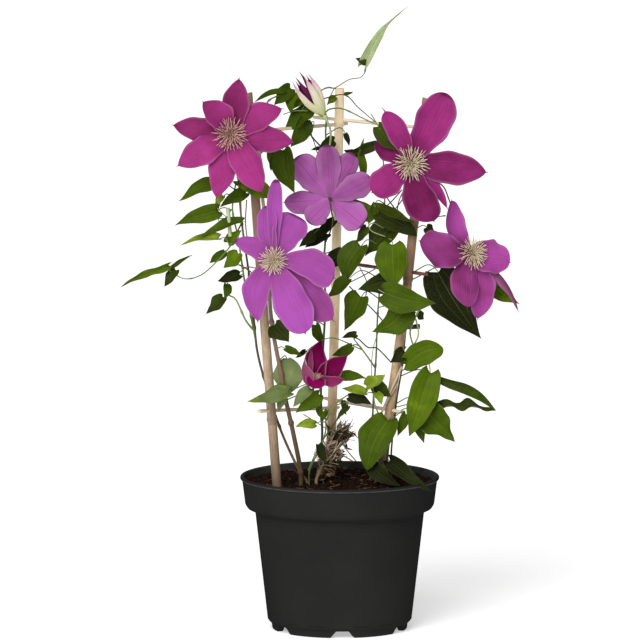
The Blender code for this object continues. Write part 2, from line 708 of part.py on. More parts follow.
VINES = {
    "vine_outer_left": {
        "stems": (
            (1.5, ((-28, 122, -9), (-35, 135, -10), (-50, 168, -14), (-63, 208, -15), (-70, 235, -20),
                   (-73, 262, -26), (-77, 300, -26), (-82, 335, -25), (-85, 365, -24), (-86, 400, -22))),
            (0.9, ((-74, 252, -26), (-80, 262, -29), (-88, 279, -31), (-94, 283, -31))),
            (0.8, ((-84, 345, -25), (-90, 331, -29), (-95, 322, -31), (-105, 311, -34), (-118, 300, -38),
                   (-132, 297, -41), (-145, 304, -44))),
            (1.0, ((-72, 245, -24), (-80, 290, -34), (-86, 330, -33), (-91, 356, -31), (-88, 380, -26))),
        ),
        "pedicels": (("bloom_upper_left", ((-86, 385, -23), (-89, 402, -34))),),
        "leaves": (
            (-109, 378, -34, -135, 361, -44, 14, 25),
            (-104, 355, -33, -141, 341, -42, 15, -30),
            (-93, 342, -36, -135, 327, -40, 13, 35),
            (-89, 368, -30, -101, 357, -38, 11, -20),
            (-95, 328, -28, -83, 338, -38, 9, 30),
            (-86, 318, -34, -99, 306, -40, 14, 20),
            (-85, 300, -35, -104, 295, -42, 12, 25),
            (-96, 292, -35, -98, 279, -42, 8, -20),
            (-99, 281, -30, -114, 267, -36, 12, 25),
            (-147, 308, -46, -187, 289, -56, 9, -35),
            (-139, 304, -43, -149, 290, -50, 10, 20),
            (-136, 309, -44, -124, 315, -50, 5, 30),
        ),
    },
    "vine_inner_left": {
        "stems": (
            (1.9, ((-33, 122, -16), (-34, 138, -18), (-40, 168, -24), (-46, 195, -31), (-51, 222, -33),
                   (-56, 248, -33), (-59, 272, -32), (-60, 300, -31), (-62, 335, -29), (-66, 370, -26),
                   (-68, 405, -22), (-66, 430, -20), (-58, 443, -16))),
            (0.8, ((-66, 430, -20), (-62, 446, -16), (-52, 452, -12), (-40, 455, -8))),
        ),
        "pedicels": (("bloom_left", ((-60, 292, -31), (-62, 300, -44))),),
        "leaves": (
            (-55, 258, -37, -43, 243, -42, 18, 20),
            (-46, 238, -36, -30, 232, -40, 7, -25),
            (-52, 227, -38, -37, 205, -44, 22, 20),
            (-54, 199, -38, -88, 190, -46, 13, 40),
            (-51, 200, -36, -52, 184, -40, 8, -20),
            (-36, 200, -34, -24, 187, -38, 12, 25),
            (-74, 381, -32, -54, 367, -42, 12, -25),
            (-47, 406, -14, -44, 366, -16, 19, 20),
            (-58, 449, -13, -75, 446, -22, 5, 20),
            (-38, 455, -8, -56, 441, -14, 14, -30),
        ),
    },
    "vine_back": {
        "stems": (
            (1.4, ((-20, 122, -4), (-17, 140, 2), (-15, 165, 12), (-16, 200, 18), (-14, 240, 26),
                   (-12, 280, 26), (-14, 305, 21), (-12, 335, 27), (-11, 380, 29), (-12, 420, 26), (-9, 450, 30),
                   (-3, 460, 31), (8, 464, 32), (18, 470, 33), (22, 480, 31))),
            (0.8, ((-11, 420, 29), (-6, 441, 31), (6, 444, 31), (20, 433, 28), (33, 428, 23))),
            (0.7, ((-9, 452, 30), (6, 455, 32), (16, 444, 30), (29, 431, 24))),
            (0.7, ((-12, 405, 29), (-18, 412, 24), (-25, 420, 13), (-33, 436, 15), (-27, 450, 17))),
        ),
        "pedicels": (("bloom_middle", ((-10, 328, 30), (-8, 332, 14), (-7, 342, -8), (-8, 356, -16))),),
        "bud": ((-11, 400, 30), (-8, 414, 20), (-8, 424, 12)),
        "leaves": (
            (22, 481, 30, 61, 531, 20, 9, 20),
            (22, 481, 30, 13, 485, 26, 6, -20),
            (-28, 437, 18, -50, 424, 8, 15, 30),
            (-33, 430, 12, -37, 412, 5, 12, -25),
            (-28, 451, 17, -40, 441, 12, 10, 20),
            (-6, 415, 27, -16, 411, 20, 9, -30),
            (16, 401, 29, 3, 407, 26, 8, -20),
            (20, 388, 27, 21, 418, 22, 7, 25),
            (-12, 336, 26, -30, 324, 12, 15, 25),
            (0, 320, 27, -18, 309, 14, 14, -25),
            (-20, 258, 20, -13, 240, 14, 9, 20),
        ),
    },
    "vine_middle": {
        "stems": (
            (1.3, ((26, 121, 6), (27, 150, 6), (28, 177, 2), (29, 202, 0), (31, 232, -2), (32, 262, -4),
                   (34, 290, -2), (36, 320, 0), (38, 350, 4), (38, 380, 8), (36, 410, 14), (34, 430, 18))),
            (0.8, ((30, 222, -2), (20, 236, -4), (12, 246, -4))),
        ),
        "pedicels": (),
        "leaves": (
            (30, 343, 7, 11, 359, 11, 16, 25),
            (31, 355, -7, 65, 336, -14, 12, -30),
            (44, 346, 4, 22, 318, 2, 20, 25),
            (20, 326, -4, 3, 289, -10, 20, 20),
            (45, 326, -12, 47, 291, -20, 28, 15),
            (42, 294, -8, 16, 289, -12, 14, -25),
            (38, 285, -20, 82, 276, -28, 24, 15),
            (58, 272, -12, 27, 252, -16, 24, -20),
            (24, 280, -8, 4, 253, -12, 18, 20),
            (14, 250, -5, 1, 247, -8, 7, 25),
            (33, 425, 12, 56, 404, 4, 15, 20),
        ),
    },
    "vine_right": {
        "stems": (
            (1.5, ((44, 122, 2), (47, 150, 2), (52, 190, 0), (58, 222, 1), (61, 250, 3), (65, 280, 3),
                   (69, 320, 4), (73, 355, 6), (76, 380, 8))),
            (0.8, ((74, 356, 6), (83, 350, 4), (93, 350, 6))),
        ),
        "pedicels": (
            ("bloom_upper_right", ((75, 375, 8), (70, 385, 0))),
            ("bloom_right", ((76, 380, 8), (87, 377, 9), (94, 362, 8), (103, 338, 2))),
        ),
        "leaves": (
            (84, 303, 8, 121, 246, 12, 36, 15),
            (119, 298, 12, 154, 276, 14, 20, -20),
            (74, 341, 2, 83, 334, -4, 9, 20),
            (57, 223, -8, 86, 236, -16, 20, 25),
            (54, 236, -9, 43, 226, -14, 12, -20),
            (80, 217, -16, 59, 162, -22, 24, -20),
            (84, 208, -14, 133, 185, -26, 14, 30),
            (80, 188, -12, 119, 186, -22, 9, -30),
            (66, 189, -10, 98, 159, -18, 20, 20),
            (62, 181, -8, 72, 157, -14, 12, -20),
        ),
    },
    "vine_low_right": {
        "stems": (
            (1.2, ((38, 122, -14), (40, 140, -14), (42, 160, -12), (44, 178, -13))),
            (0.9, ((38, 128, -14), (32, 138, -19), (27, 146, -22))),
            (0.8, ((42, 160, -12), (36, 176, -14), (30, 190, -14), (28, 205, -15), (24, 212, -16))),
        ),
        "pedicels": (),
        "leaves": (
            (45, 178, -18, 20, 137, -28, 28, 15),
            (26, 141, -20, 50, 122, -42, 13, 25),
            (41, 148, -18, 79, 117, -56, 17, 0, 0.2),
            (56, 182, -14, 49, 163, -18, 9, -20),
            (22, 200, -18, 1, 204, -22, 9, 25),
            (23, 206, -18, 39, 216, -22, 12, -25),
            (33, 203, -10, 44, 193, -14, 13, 20),
            (31, 200, -16, 36, 190, -20, 8, -20),
            (22, 212, -17, 1, 216, -20, 8, 25),
        ),
    },
    "vine_low": {
        "stems": (
            (1.1, ((-24, 122, -17), (-24, 134, -18), (-15, 158, -18), (-15, 180, -22), (-20, 192, -24))),
            (0.8, ((-15, 176, -21), (-4, 190, -20), (6, 198, -18))),
        ),
        "pedicels": (("half_open_bloom", ((-20, 190, -24), (-22, 197, -24))),),
        "leaves": (
            (8, 197, -17, 28, 190, -20, 9, 25),
            (-27, 196, -27, -16, 185, -30, 11, 20),
            (-33, 175, -28, -22, 171, -32, 7, -25),
            (-18, 156, -20, -12, 140, -24, 9, -20),
        ),
    },
    "old_wood": {
        "stems": (
            (1.8, ((-15, 122, -10), (-14, 132, -6), (-11, 146, 6), (-6, 158, 16), (-4, 168, 24))),
        ),
        "pedicels": (),
        "leaves": (
            (-2, 166, 18, 12, 176, 14, 11, 30),
            (-3, 160, 12, 14, 160, 8, 12, -35),
            (-7, 152, 6, 2, 143, 1, 10, 30),
            (-6, 158, 9, -1, 169, 1, 10, 40),
        ),
    },
}



def branch_path(path, stems):
    """A branch's points, the first of which moves to the nearest point of the stems before it."""
    nearest = stems[np.argmin(np.linalg.norm(stems - path[0], axis=1))]
    return smooth(np.vstack([[nearest], path[1:]]), 20)


def root_path(points):
    """World points of a rooted stem, which first comes straight up out of the soil."""
    path = route(points)
    foot = path[0]
    under = np.array([foot[0], foot[1], SOIL_Z - ROOT_DEPTH])
    out = np.array([foot[0], foot[1], SOIL_Z + 2.5])
    return np.vstack([[under], smooth(np.vstack([[out], path[1:]]), 22)])


def bloom_back(name):
    """The two points by which a pedicel reaches the back of a bloom."""
    bloom = HALF_OPEN if name == "half_open_bloom" else BLOOMS[name]
    centre, axis = place(*bloom["centre"]), look_direction(bloom["looks"])
    return [centre - axis * 10, centre - axis * (RECEPTACLE_BACK + GAP)]


def bud_back():
    """The two points by which a pedicel reaches the foot of the bud."""
    base, tip = place(*BUD["base"]), place(*BUD["tip"])
    axis = unit(tip - base)
    return [base - axis * 6, base - axis * GAP]


def make_leaf(base, tip, width, roll, arch, stems):
    """A leaf with its stalk, which springs from the nearest low stretch of a stem and bows up."""
    axis = unit(tip - base)
    normal = turned(square(np.array([0, -1, 0.35]), axis), axis, roll)
    halves = LEAF_OUTLINE * width / 2 / math.cos(math.radians(roll))
    halves[0] = STALK_RADIUS
    grid = blade_grid(base, tip, normal, LEAF_STATIONS, halves, LEAF_FOLD, arch, LEAF_WAVE, LEAF_LOBE)
    reach = np.linalg.norm(stems - base, axis=1) + np.maximum(stems[:, 2] - base[2], 0)
    start = stems[np.argmin(reach)]
    length = np.linalg.norm(base - start)
    middle = (start + base) / 4 + (base - axis * 0.45 * length) / 2 + (0, 0, 0.1 * length)
    side = np.cross(axis, normal)
    rows = []
    before = axis
    for point, after in ((middle, unit(base - start)), (start, unit(middle - start))):
        side = carried(side, before, after)
        rows.insert(0, point + side * STALK_RADIUS * np.array([-1, 0, 1])[:, None])
        before = after
    thickness = [STALK_THICKNESS] * 3 + [LEAF_THICKNESS] * 3 + [0]
    return sheet(np.concatenate([rows, grid]), thickness)


def make_vine(name):
    """The stems, leaf stalks and leaves of one vine."""
    vine = VINES[name]
    radius, points = vine["stems"][0]
    path = root_path(points)
    pieces = [tube(path, np.linspace(radius, 0.65 * radius, len(path)), 4)]
    dense = smooth(path, 3)
    for radius, points in vine["stems"][1:]:
        path = branch_path(route(points), dense)
        pieces.append(tube(path, np.linspace(radius, 0.65 * radius, len(path)), 3))
        dense = np.vstack([dense, smooth(path, 3)])
    ends = [(route(points), bloom_back(bloom)) for bloom, points in vine["pedicels"]]
    if "bud" in vine:
        ends.append((route(vine["bud"]), bud_back()))
    for points, back in ends:
        pieces.append(tube(branch_path(np.vstack([points, back]), dense), PEDICEL_RADIUS, 4))
    for u, v, d, tip_u, tip_v, tip_d, width, roll, *bow in vine["leaves"]:
        arch = bow[0] if bow else LEAF_ARCH
        pieces.append(make_leaf(place(u, v, d), place(tip_u, tip_v, tip_d), width, roll, arch, dense))
    return pieces


def main():
    """Builds every piece."""
    for old in list(bpy.data.objects):
        bpy.data.objects.remove(old)
    make_pot()
    holes = [cane_hole(name) for name in CANES]
    for vine in VINES.values():
        radius, points = vine["stems"][0]
        holes.append(root_hole(place(*points[0]), radius))
    make_soil(holes)
    for name in CANES:
        make_cane(name)
    rung_look = material("rung_wood", RUNG_CREAM, 0.6)
    for name in RUNGS:
        make_rung(name, rung_look)
    make_clip()
    stamen_look = material("stamens", STAMEN_CREAM, 0.6)
    for name, bloom in BLOOMS.items():
        fuse(name + "_tepals", make_tepals(bloom), material(name + "_petal", bloom["colour"], 0.6))
        fuse(name + "_stamens", make_stamens(bloom), stamen_look)
    maroon = material("half_open_petal", HALF_OPEN["colour"], 0.6)
    fuse("half_open_bloom", make_tepals(HALF_OPEN, HALF_OPEN_ARCH), maroon)
    fuse("bud", make_bud(), material("bud_sepal", BUD["colour"], 0.6))
    green = material("leaf_green", LEAF_GREEN, 0.5)
    brown = material("dry_brown", DRY_BROWN, 0.8)
    for name in VINES:
        fuse(name, make_vine(name), brown if name == "old_wood" else green)


if __name__ == "__main__":
    main()
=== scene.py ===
# %% [markdown]
# # A potted clematis
#
# This file dresses a clematis that climbs a rack of three bamboo canes in a black nursery pot. The
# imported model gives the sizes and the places. Every piece here is a surface worked out with numpy
# and laid over a part of that model, so it rests, collides and moves as the model does.
#
# Nearly every shape on the plant can be seen as one thing: a ring of points carried along a line.
# A stem is a round ring, a leaf is a very flat one, and a pot is a ring that grows, turns over at
# the rim and shrinks again. One mesh builder is enough for them all.

import bpy
import numpy as np
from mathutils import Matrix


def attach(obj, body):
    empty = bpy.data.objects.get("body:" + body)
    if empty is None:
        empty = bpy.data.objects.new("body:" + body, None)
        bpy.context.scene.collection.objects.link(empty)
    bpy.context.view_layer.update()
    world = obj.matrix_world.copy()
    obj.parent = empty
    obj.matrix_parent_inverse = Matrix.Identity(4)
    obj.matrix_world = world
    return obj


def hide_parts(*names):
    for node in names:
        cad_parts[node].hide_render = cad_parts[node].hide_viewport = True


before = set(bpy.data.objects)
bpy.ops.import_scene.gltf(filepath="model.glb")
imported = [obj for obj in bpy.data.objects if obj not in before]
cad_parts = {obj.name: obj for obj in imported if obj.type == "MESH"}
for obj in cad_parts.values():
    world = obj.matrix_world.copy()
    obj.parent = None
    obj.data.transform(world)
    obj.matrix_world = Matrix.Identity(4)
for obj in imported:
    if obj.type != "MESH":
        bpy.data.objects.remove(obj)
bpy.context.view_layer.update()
MM = 0.001
print("nodes in the frame:", len(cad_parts))

# %% [markdown]
# ## Camera
#
# A plant that is sold by its picture is photographed with a long lens from a little above, so that
# upright canes stay upright. A long lens far away could be an orthographic camera too. A real lens
# is kept, because the pot's rim then opens by the right amount.

# %% Camera
VIEW_TILT = np.radians(8.1)
VIEW_DISTANCE = 14.0
VIEW_TARGET = (-0.0168, 0.0, 0.2652)
FRAME_WIDTH = 0.5448
SENSOR = 36.0

lens = bpy.data.cameras.new("camera")
lens.sensor_width = SENSOR
lens.lens = SENSOR * VIEW_DISTANCE / FRAME_WIDTH
lens.clip_end = 100
camera = bpy.data.objects.new("camera", lens)
camera.location = (
    VIEW_TARGET[0],
    VIEW_TARGET[1] - VIEW_DISTANCE * np.cos(VIEW_TILT),
    VIEW_TARGET[2] + VIEW_DISTANCE * np.sin(VIEW_TILT),
)
camera.rotation_euler = (np.pi / 2 - VIEW_TILT, 0, 0)
bpy.context.scene.collection.objects.link(camera)
bpy.context.scene.camera = camera
print("lens", round(lens.lens, 1), "mm")

# %% [markdown]
# ## Floor and light
#
# The picture was taken on a white sweep under a big soft light, with nothing dark near it. A white
# floor, a pale sky and one wide sun give the same. The sun stands for the soft box because it
# lights the floor evenly all the way back, where an area lamp would leave it grey.

# %% Floor and light
FLOOR_REACH = 30.0
SKY_STRENGTH = 0.3
SUN_STRENGTH = 2.1
SUN_WIDTH = np.radians(36)
SUN_TURN = (np.radians(52), 0, np.radians(-16))
FRONT_STRENGTH = 26.0
FRONT_PLACE = (-1.0, -2.8, 1.3)
FRONT_TURN = (np.radians(69), 0, np.radians(-20))
FRONT_SIZE = 1.2
FLOOR_GLOW = 0.45

scene = bpy.context.scene
scene.view_settings.view_transform = "Standard"
world = bpy.data.worlds.new("studio")
world.use_nodes = True
world.node_tree.nodes["Background"].inputs["Color"].default_value = (1, 1, 1, 1)
world.node_tree.nodes["Background"].inputs["Strength"].default_value = SKY_STRENGTH
scene.world = world


def add_light(name, kind, strength, location, turn):
    """A lamp of a kind, at a place and turned by angles about X, Y and Z."""
    data = bpy.data.lights.new(name, kind)
    data.energy = strength
    light = bpy.data.objects.new(name, data)
    light.location = location
    light.rotation_euler = turn
    scene.collection.objects.link(light)
    return data


sun = add_light("soft_sun", "SUN", SUN_STRENGTH, (0, 0, 3), SUN_TURN)
sun.angle = SUN_WIDTH
front = add_light("front_box", "AREA", FRONT_STRENGTH, FRONT_PLACE, FRONT_TURN)
front.size = FRONT_SIZE

corners = [(x * FLOOR_REACH, y * FLOOR_REACH, 0) for x, y in ((-1, -1), (1, -1), (1, 1), (-1, 1))]
floor_mesh = bpy.data.meshes.new("floor")
floor_mesh.from_pydata(corners, [], [(0, 1, 2, 3)])
floor = bpy.data.objects.new("floor", floor_mesh)
scene.collection.objects.link(floor)

# %% [markdown]
# ## The plan
#
# The plant is drawn on a front plan in millimetres, as a gardener would sketch it. u runs to the
# right of the pot's axis, v runs up the plan and d is the depth behind the axis. The sketch is made
# from about the camera's height, so a point that lies further back sits higher on the plan than it
# is in the world, by d times the sine of the tilt.

# %% Places and directions
PLAN_TILT = np.radians(8.5)
CURVE_STEPS = 24


def place(plan):
    """World millimetres of plan points: z = (v - d sin tilt) / cos tilt, and x = u, y = d."""
    plan = np.asarray(plan, float)
    u, v, d = plan[..., 0], plan[..., 1], plan[..., 2]
    return np.stack([u, d, (v - d * np.sin(PLAN_TILT)) / np.cos(PLAN_TILT)], -1)


def unit(vectors):
    """Vectors at length one."""
    return vectors / np.maximum(np.linalg.norm(vectors, axis=-1, keepdims=True), 1e-12)


def square_to(vectors, axis):
    """The part of each vector that is square to a unit axis, at length one."""
    return unit(vectors - axis * np.sum(vectors * axis, axis=-1, keepdims=True))


def turned(vectors, axis, degrees):
    """Vectors square to a unit axis, turned about it: v cos a + (axis x v) sin a."""
    angle = np.radians(np.asarray(degrees, float))[..., None]
    return vectors * np.cos(angle) + np.cross(axis, vectors) * np.sin(angle)


def lengths(path):
    """How far along a line each of its points is."""
    return np.concatenate([[0], np.cumsum(np.linalg.norm(np.diff(path, axis=0), axis=1))])


def even(path, spacing):
    """The same line with its points evenly apart: each coordinate read off against the length."""
    length = lengths(path)
    at = np.linspace(0, length[-1], max(3, round(length[-1] / spacing) + 1))
    return np.stack([np.interp(at, length, path[:, k]) for k in range(3)], -1)


def curve(points, spacing):
    """A smooth line through points. Between b and c it is b + ((c - a)f + (2a - 5b + 4c - e)f2 +
    (3b - a - 3c + e)f3) / 2, where a and e are the points before and after and f runs 0 to 1."""
    points = np.asarray(points, float)
    padded = np.vstack([2 * points[0] - points[1], points, 2 * points[-1] - points[-2]])
    at = np.linspace(0, len(points) - 1, CURVE_STEPS * (len(points) - 1) + 1)
    i = np.minimum(at.astype(int), len(points) - 2)
    f = (at - i)[:, None]
    a, b, c, e = (padded[i + k] for k in range(4))
    rise = (c - a) * f + (2 * a - 5 * b + 4 * c - e) * f**2 + (3 * b - a - 3 * c + e) * f**3
    return even(b + rise / 2, spacing)


print("plan point (0, 100, 0) is at", place((0, 100, 0)).round(1))

# %% [markdown]
# ## One builder for every shape
#
# A closed shape is kept as rows of rings: an array of rows x points x 3. Its sides are four-sided
# faces between neighbouring rings, and one face closes each end. Many shapes can go into one mesh,
# which keeps a spray of leaves or a boss of stamens together as one piece. Each shape carries a UV
# map and a few named marks, such as how deep its green is, for its material to read.

# %% Shapes into meshes


def shape(points, uv, **marks):
    """Rings of points with their UV, which has one more column than the points for the seam."""
    return {"points": points, "uv": uv, "marks": marks}


def ring_faces(rows, columns):
    """Corner numbers of the sides, as i, j; i, j+1; i+1, j+1; i+1, j, and of the two ends."""
    i = np.arange(rows - 1)[:, None] * columns
    j = np.arange(columns)[None, :]
    k = (j + 1) % columns
    sides = np.stack([i + j, i + k, i + k + columns, i + j + columns], -1).reshape(-1, 4)
    ends = np.stack([np.arange(columns)[::-1], (rows - 1) * columns + np.arange(columns)])
    return sides, ends


def ring_uv(uv):
    """The UV of each corner of the sides and ends, in the order of ring_faces."""
    sides = np.stack([uv[:-1, :-1], uv[:-1, 1:], uv[1:, 1:], uv[1:, :-1]], -2).reshape(-1, 2)
    ends = np.stack([uv[0, :-1][::-1], uv[-1, :-1]]).reshape(-1, 2)
    return sides, ends


def make_piece(name, shapes, look, replaces=(), smooth=True):
    """Joins closed shapes in one mesh, gives it its material and seats it in the frame."""
    first = 0
    points, loops, totals, uvs = [], [], [], []
    for one in shapes:
        rows, columns = one["points"].shape[:2]
        sides, ends = ring_faces(rows, columns)
        side_uv, end_uv = ring_uv(one["uv"])
        points.append(one["points"].reshape(-1, 3))
        loops += [(sides + first).ravel(), (ends + first).ravel()]
        totals += [np.full(len(sides), 4), np.full(2, columns)]
        uvs += [side_uv, end_uv]
        first += rows * columns
    points, loops, totals = np.vstack(points) * MM, np.concatenate(loops), np.concatenate(totals)
    mesh = bpy.data.meshes.new(name)
    mesh.vertices.add(len(points))
    mesh.vertices.foreach_set("co", points.ravel())
    mesh.loops.add(len(loops))
    mesh.loops.foreach_set("vertex_index", loops)
    mesh.polygons.add(len(totals))
    mesh.polygons.foreach_set("loop_start", np.cumsum(totals) - totals)
    mesh.polygons.foreach_set("loop_total", totals)
    mesh.polygons.foreach_set("use_smooth", np.full(len(totals), smooth))
    mesh.update(calc_edges=True)
    mesh.uv_layers.new(name="UVMap").data.foreach_set("uv", np.vstack(uvs).ravel())
    for mark in sorted({m for one in shapes for m in one["marks"]}):
        values = []
        for one in shapes:
            value = np.broadcast_to(one["marks"].get(mark, 0.0), one["points"].shape[:2])
            values.append(value.ravel())
        layer = mesh.attributes.new(mark, "FLOAT", "POINT")
        layer.data.foreach_set("value", np.concatenate(values))
    mesh.materials.append(look)
    piece = bpy.data.objects.new(name, mesh)
    scene.collection.objects.link(piece)
    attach(piece, "root")
    if replaces:
        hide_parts(*replaces)
    print(name, len(shapes), "shapes,", int((totals - 2).sum()), "triangles")


# %% [markdown]
# ## Rings along a line, and round an axis
#
# A stem, a cane or a filament is a round ring carried along a line, square to it. The ring needs
# some direction to start from. The one that the line runs along least is a safe choice: it never
# falls in line with the path, so the rings never flip. A pot is the same idea turned round: the
# ring lies flat, and its size and height follow a profile.

# %% Tubes and turned shapes


def round_uv(path, sides):
    """The UV round a ring shape: across runs once round, and along is the length in decimetres."""
    along = lengths(path)[:, None] / 100
    return np.stack(np.broadcast_arrays(np.arange(sides + 1) / sides, along), -1)


def tube(path, radius, sides, **marks):
    """A ring at each point of the path: p + r (cos a across + sin a over), square to the path."""
    along = unit(np.gradient(path, axis=0))
    across = square_to(np.linalg.svd(along)[2][-1], along)
    over = np.cross(along, across)
    angle = (np.arange(sides) / sides * 2 * np.pi)[None, :, None]
    radius = np.asarray(radius, float)
    radius = radius.reshape(len(radius), -1, 1) if radius.ndim else radius
    ring = np.cos(angle) * across[:, None] + np.sin(angle) * over[:, None]
    return shape(path[:, None] + radius * ring, round_uv(path, sides), **marks)


def turned_shape(profile, sides, relief, **marks):
    """A profile of (radius, height) points turned round Z. The relief takes the angle, the radius
    and the height of every point, and gives back a new radius and height."""
    angle = np.arange(sides) / sides * 2 * np.pi
    height = np.repeat(profile[:, 1:], sides, axis=1)
    radius, height = relief(angle[None, :], profile[:, :1], height)
    rings = np.stack([radius * np.cos(angle), radius * np.sin(angle), height], -1)
    return shape(rings, round_uv(profile, sides), **marks)


# %% [markdown]
# ## Blades
#
# A leaf or a petal could be drawn as an outline and filled. That gives a flat card. Here it is a
# surface of two numbers: s runs from the foot to the tip and t across, from -1 at one edge to 1 at
# the other. The half width is (s + start) to the power rise, times (1 - s) to the power fall, over
# its largest value. A low fall gives a round end and a high one a drawn-out tip. The midrib bows,
# the section folds and cups, the edge ruffles, and grooves along fixed t make the veins, which run
# together at both ends as they do in clematis.

# %% Blades
BLADE_END = 0.9997
TIP_CROWDING = 1.5
TWIST_CENTRE = 0.35
POINT_WIDTH = 4.4
FLANK_RATE = 1.7
FLANK_DEPTH = 0.05
FOLD_POWER = 1.3
RUFFLE_POWER = 2.5
LOBE_REACH = 0.16
LOBE_POWER = 1.4
FLAT = 1e-3


def outline(s, rise, fall, start):
    """Half width from 0 to 1 along a blade, largest where s = (rise - fall start)/(rise + fall)."""
    widest = np.clip((rise - fall * start) / (rise + fall), 0, 1)
    most = (widest + start) ** rise * (1 - widest) ** fall
    return (s + start) ** rise * (1 - s) ** fall / most


def blade(base, tip, normal, width, form, rows, columns, phase, **marks):
    """A thin closed shell round the surface
    base + axis (length s - lobe) + up (length bow + lift) + side (reach + length sweep sin(pi s)).
    The bow is arch sin(pi s) + 4 curl s2 (1 - s), and the lift adds the cup, the fold along the
    midrib, the ruffle of the edge and the grooves of the veins."""
    s = (1 - (1 - np.linspace(0, 1, rows)) ** TIP_CROWDING)[:, None] * BLADE_END
    t = np.linspace(-1, 1, columns)[None, :]
    axis = unit(tip - base)
    length = np.linalg.norm(tip - base)
    up = square_to(normal, axis)
    side = np.cross(axis, up)
    turn = np.radians(form.get("twist", 0) * (s - TWIST_CENTRE))[..., None]
    up, side = up * np.cos(turn) - side * np.sin(turn), side * np.cos(turn) + up * np.sin(turn)
    point = form.get("point", 0.0)
    body = np.minimum(s / (1 - point), 1)
    half = width / 2 * outline(body, form["rise"], form["fall"], form.get("start", 0.12))
    narrow = np.clip(1 - s, 0, 2 * point) / max(2 * point, 0.01)
    half = np.maximum(half, POINT_WIDTH * point**0.5 * narrow)
    hump = np.sin(np.pi * s)
    wave = np.sin(2 * np.pi * (form["waves"] * s + 0.37 * np.sign(t) + phase))
    flank = np.sin(2 * np.pi * (FLANK_RATE * form["waves"] * s + 0.21 * np.sign(t) + 2.3 * phase))
    half = half * (1 + FLANK_DEPTH * flank * np.abs(t) * hump)
    cup = form.get("cup", 0.0) * np.ones_like(s)
    bend = np.where(np.abs(cup) < FLAT, FLAT, cup)
    reach = half * np.sin(bend * t) / bend
    lift = half * (1 - np.cos(bend * t)) / bend + form["fold"] * half * np.abs(t) ** FOLD_POWER
    lift = lift + form["ruffle"] * width / 2 * wave * np.abs(t) ** RUFFLE_POWER * hump
    for vein in form["veins"]:
        groove = np.exp(-(((np.abs(t) - vein) / form["vein_width"]) ** 2))
        lift = lift - form["groove"] * groove * hump**0.5 * np.minimum(1, half / 3)
    lobe = form.get("lobe", 0) * length * np.exp(-((s / LOBE_REACH) ** 2)) * np.abs(t) ** LOBE_POWER
    bow = form["arch"] * hump + form.get("curl", 0) * 4 * s**2 * (1 - s)
    middle = base + axis * (length * s - lobe)[..., None] + up * (length * bow + lift)[..., None]
    middle = middle + side * (reach + form.get("sweep", 0) * length * hump)[..., None]
    normals = unit(np.cross(np.gradient(middle, axis=1), np.gradient(middle, axis=0)))
    skin = form["thickness"] / 2 * (1 - t**2) ** 0.5 * np.minimum(1, half / 2 + 0.1)
    skin = normals * skin[..., None]
    rings = np.concatenate([middle + skin, (middle - skin)[:, -2:0:-1]], axis=1)
    across = np.concatenate([t[0], t[0, -2:0:-1], t[0, :1]]) / 2 + 0.5
    uv = np.stack(np.broadcast_arrays(across, s), -1)
    under = np.concatenate([np.zeros(columns), np.ones(columns - 2)])
    under[[0, columns - 1]] = 0.5
    return shape(rings, uv, back=np.broadcast_to(under, (rows, 2 * columns - 2)), **marks)


# %% [markdown]
# ## Materials from a few words
#
# Every finish is a Principled shader with its pattern worked out by nodes. They could be wired by
# hand in the shader editor. A small helper that adds a node, sets its sockets and returns its
# output keeps each finish short enough to read as a recipe.

# %% A helper for node materials


def paint(red, green, blue):
    """A colour given as 0 to 255 on a screen, as the linear numbers that a shader wants."""
    c = np.array([red, green, blue]) / 255
    return tuple(float(x) for x in np.where(c <= 0.04045, c / 12.92, ((c + 0.055) / 1.055) ** 2.4))


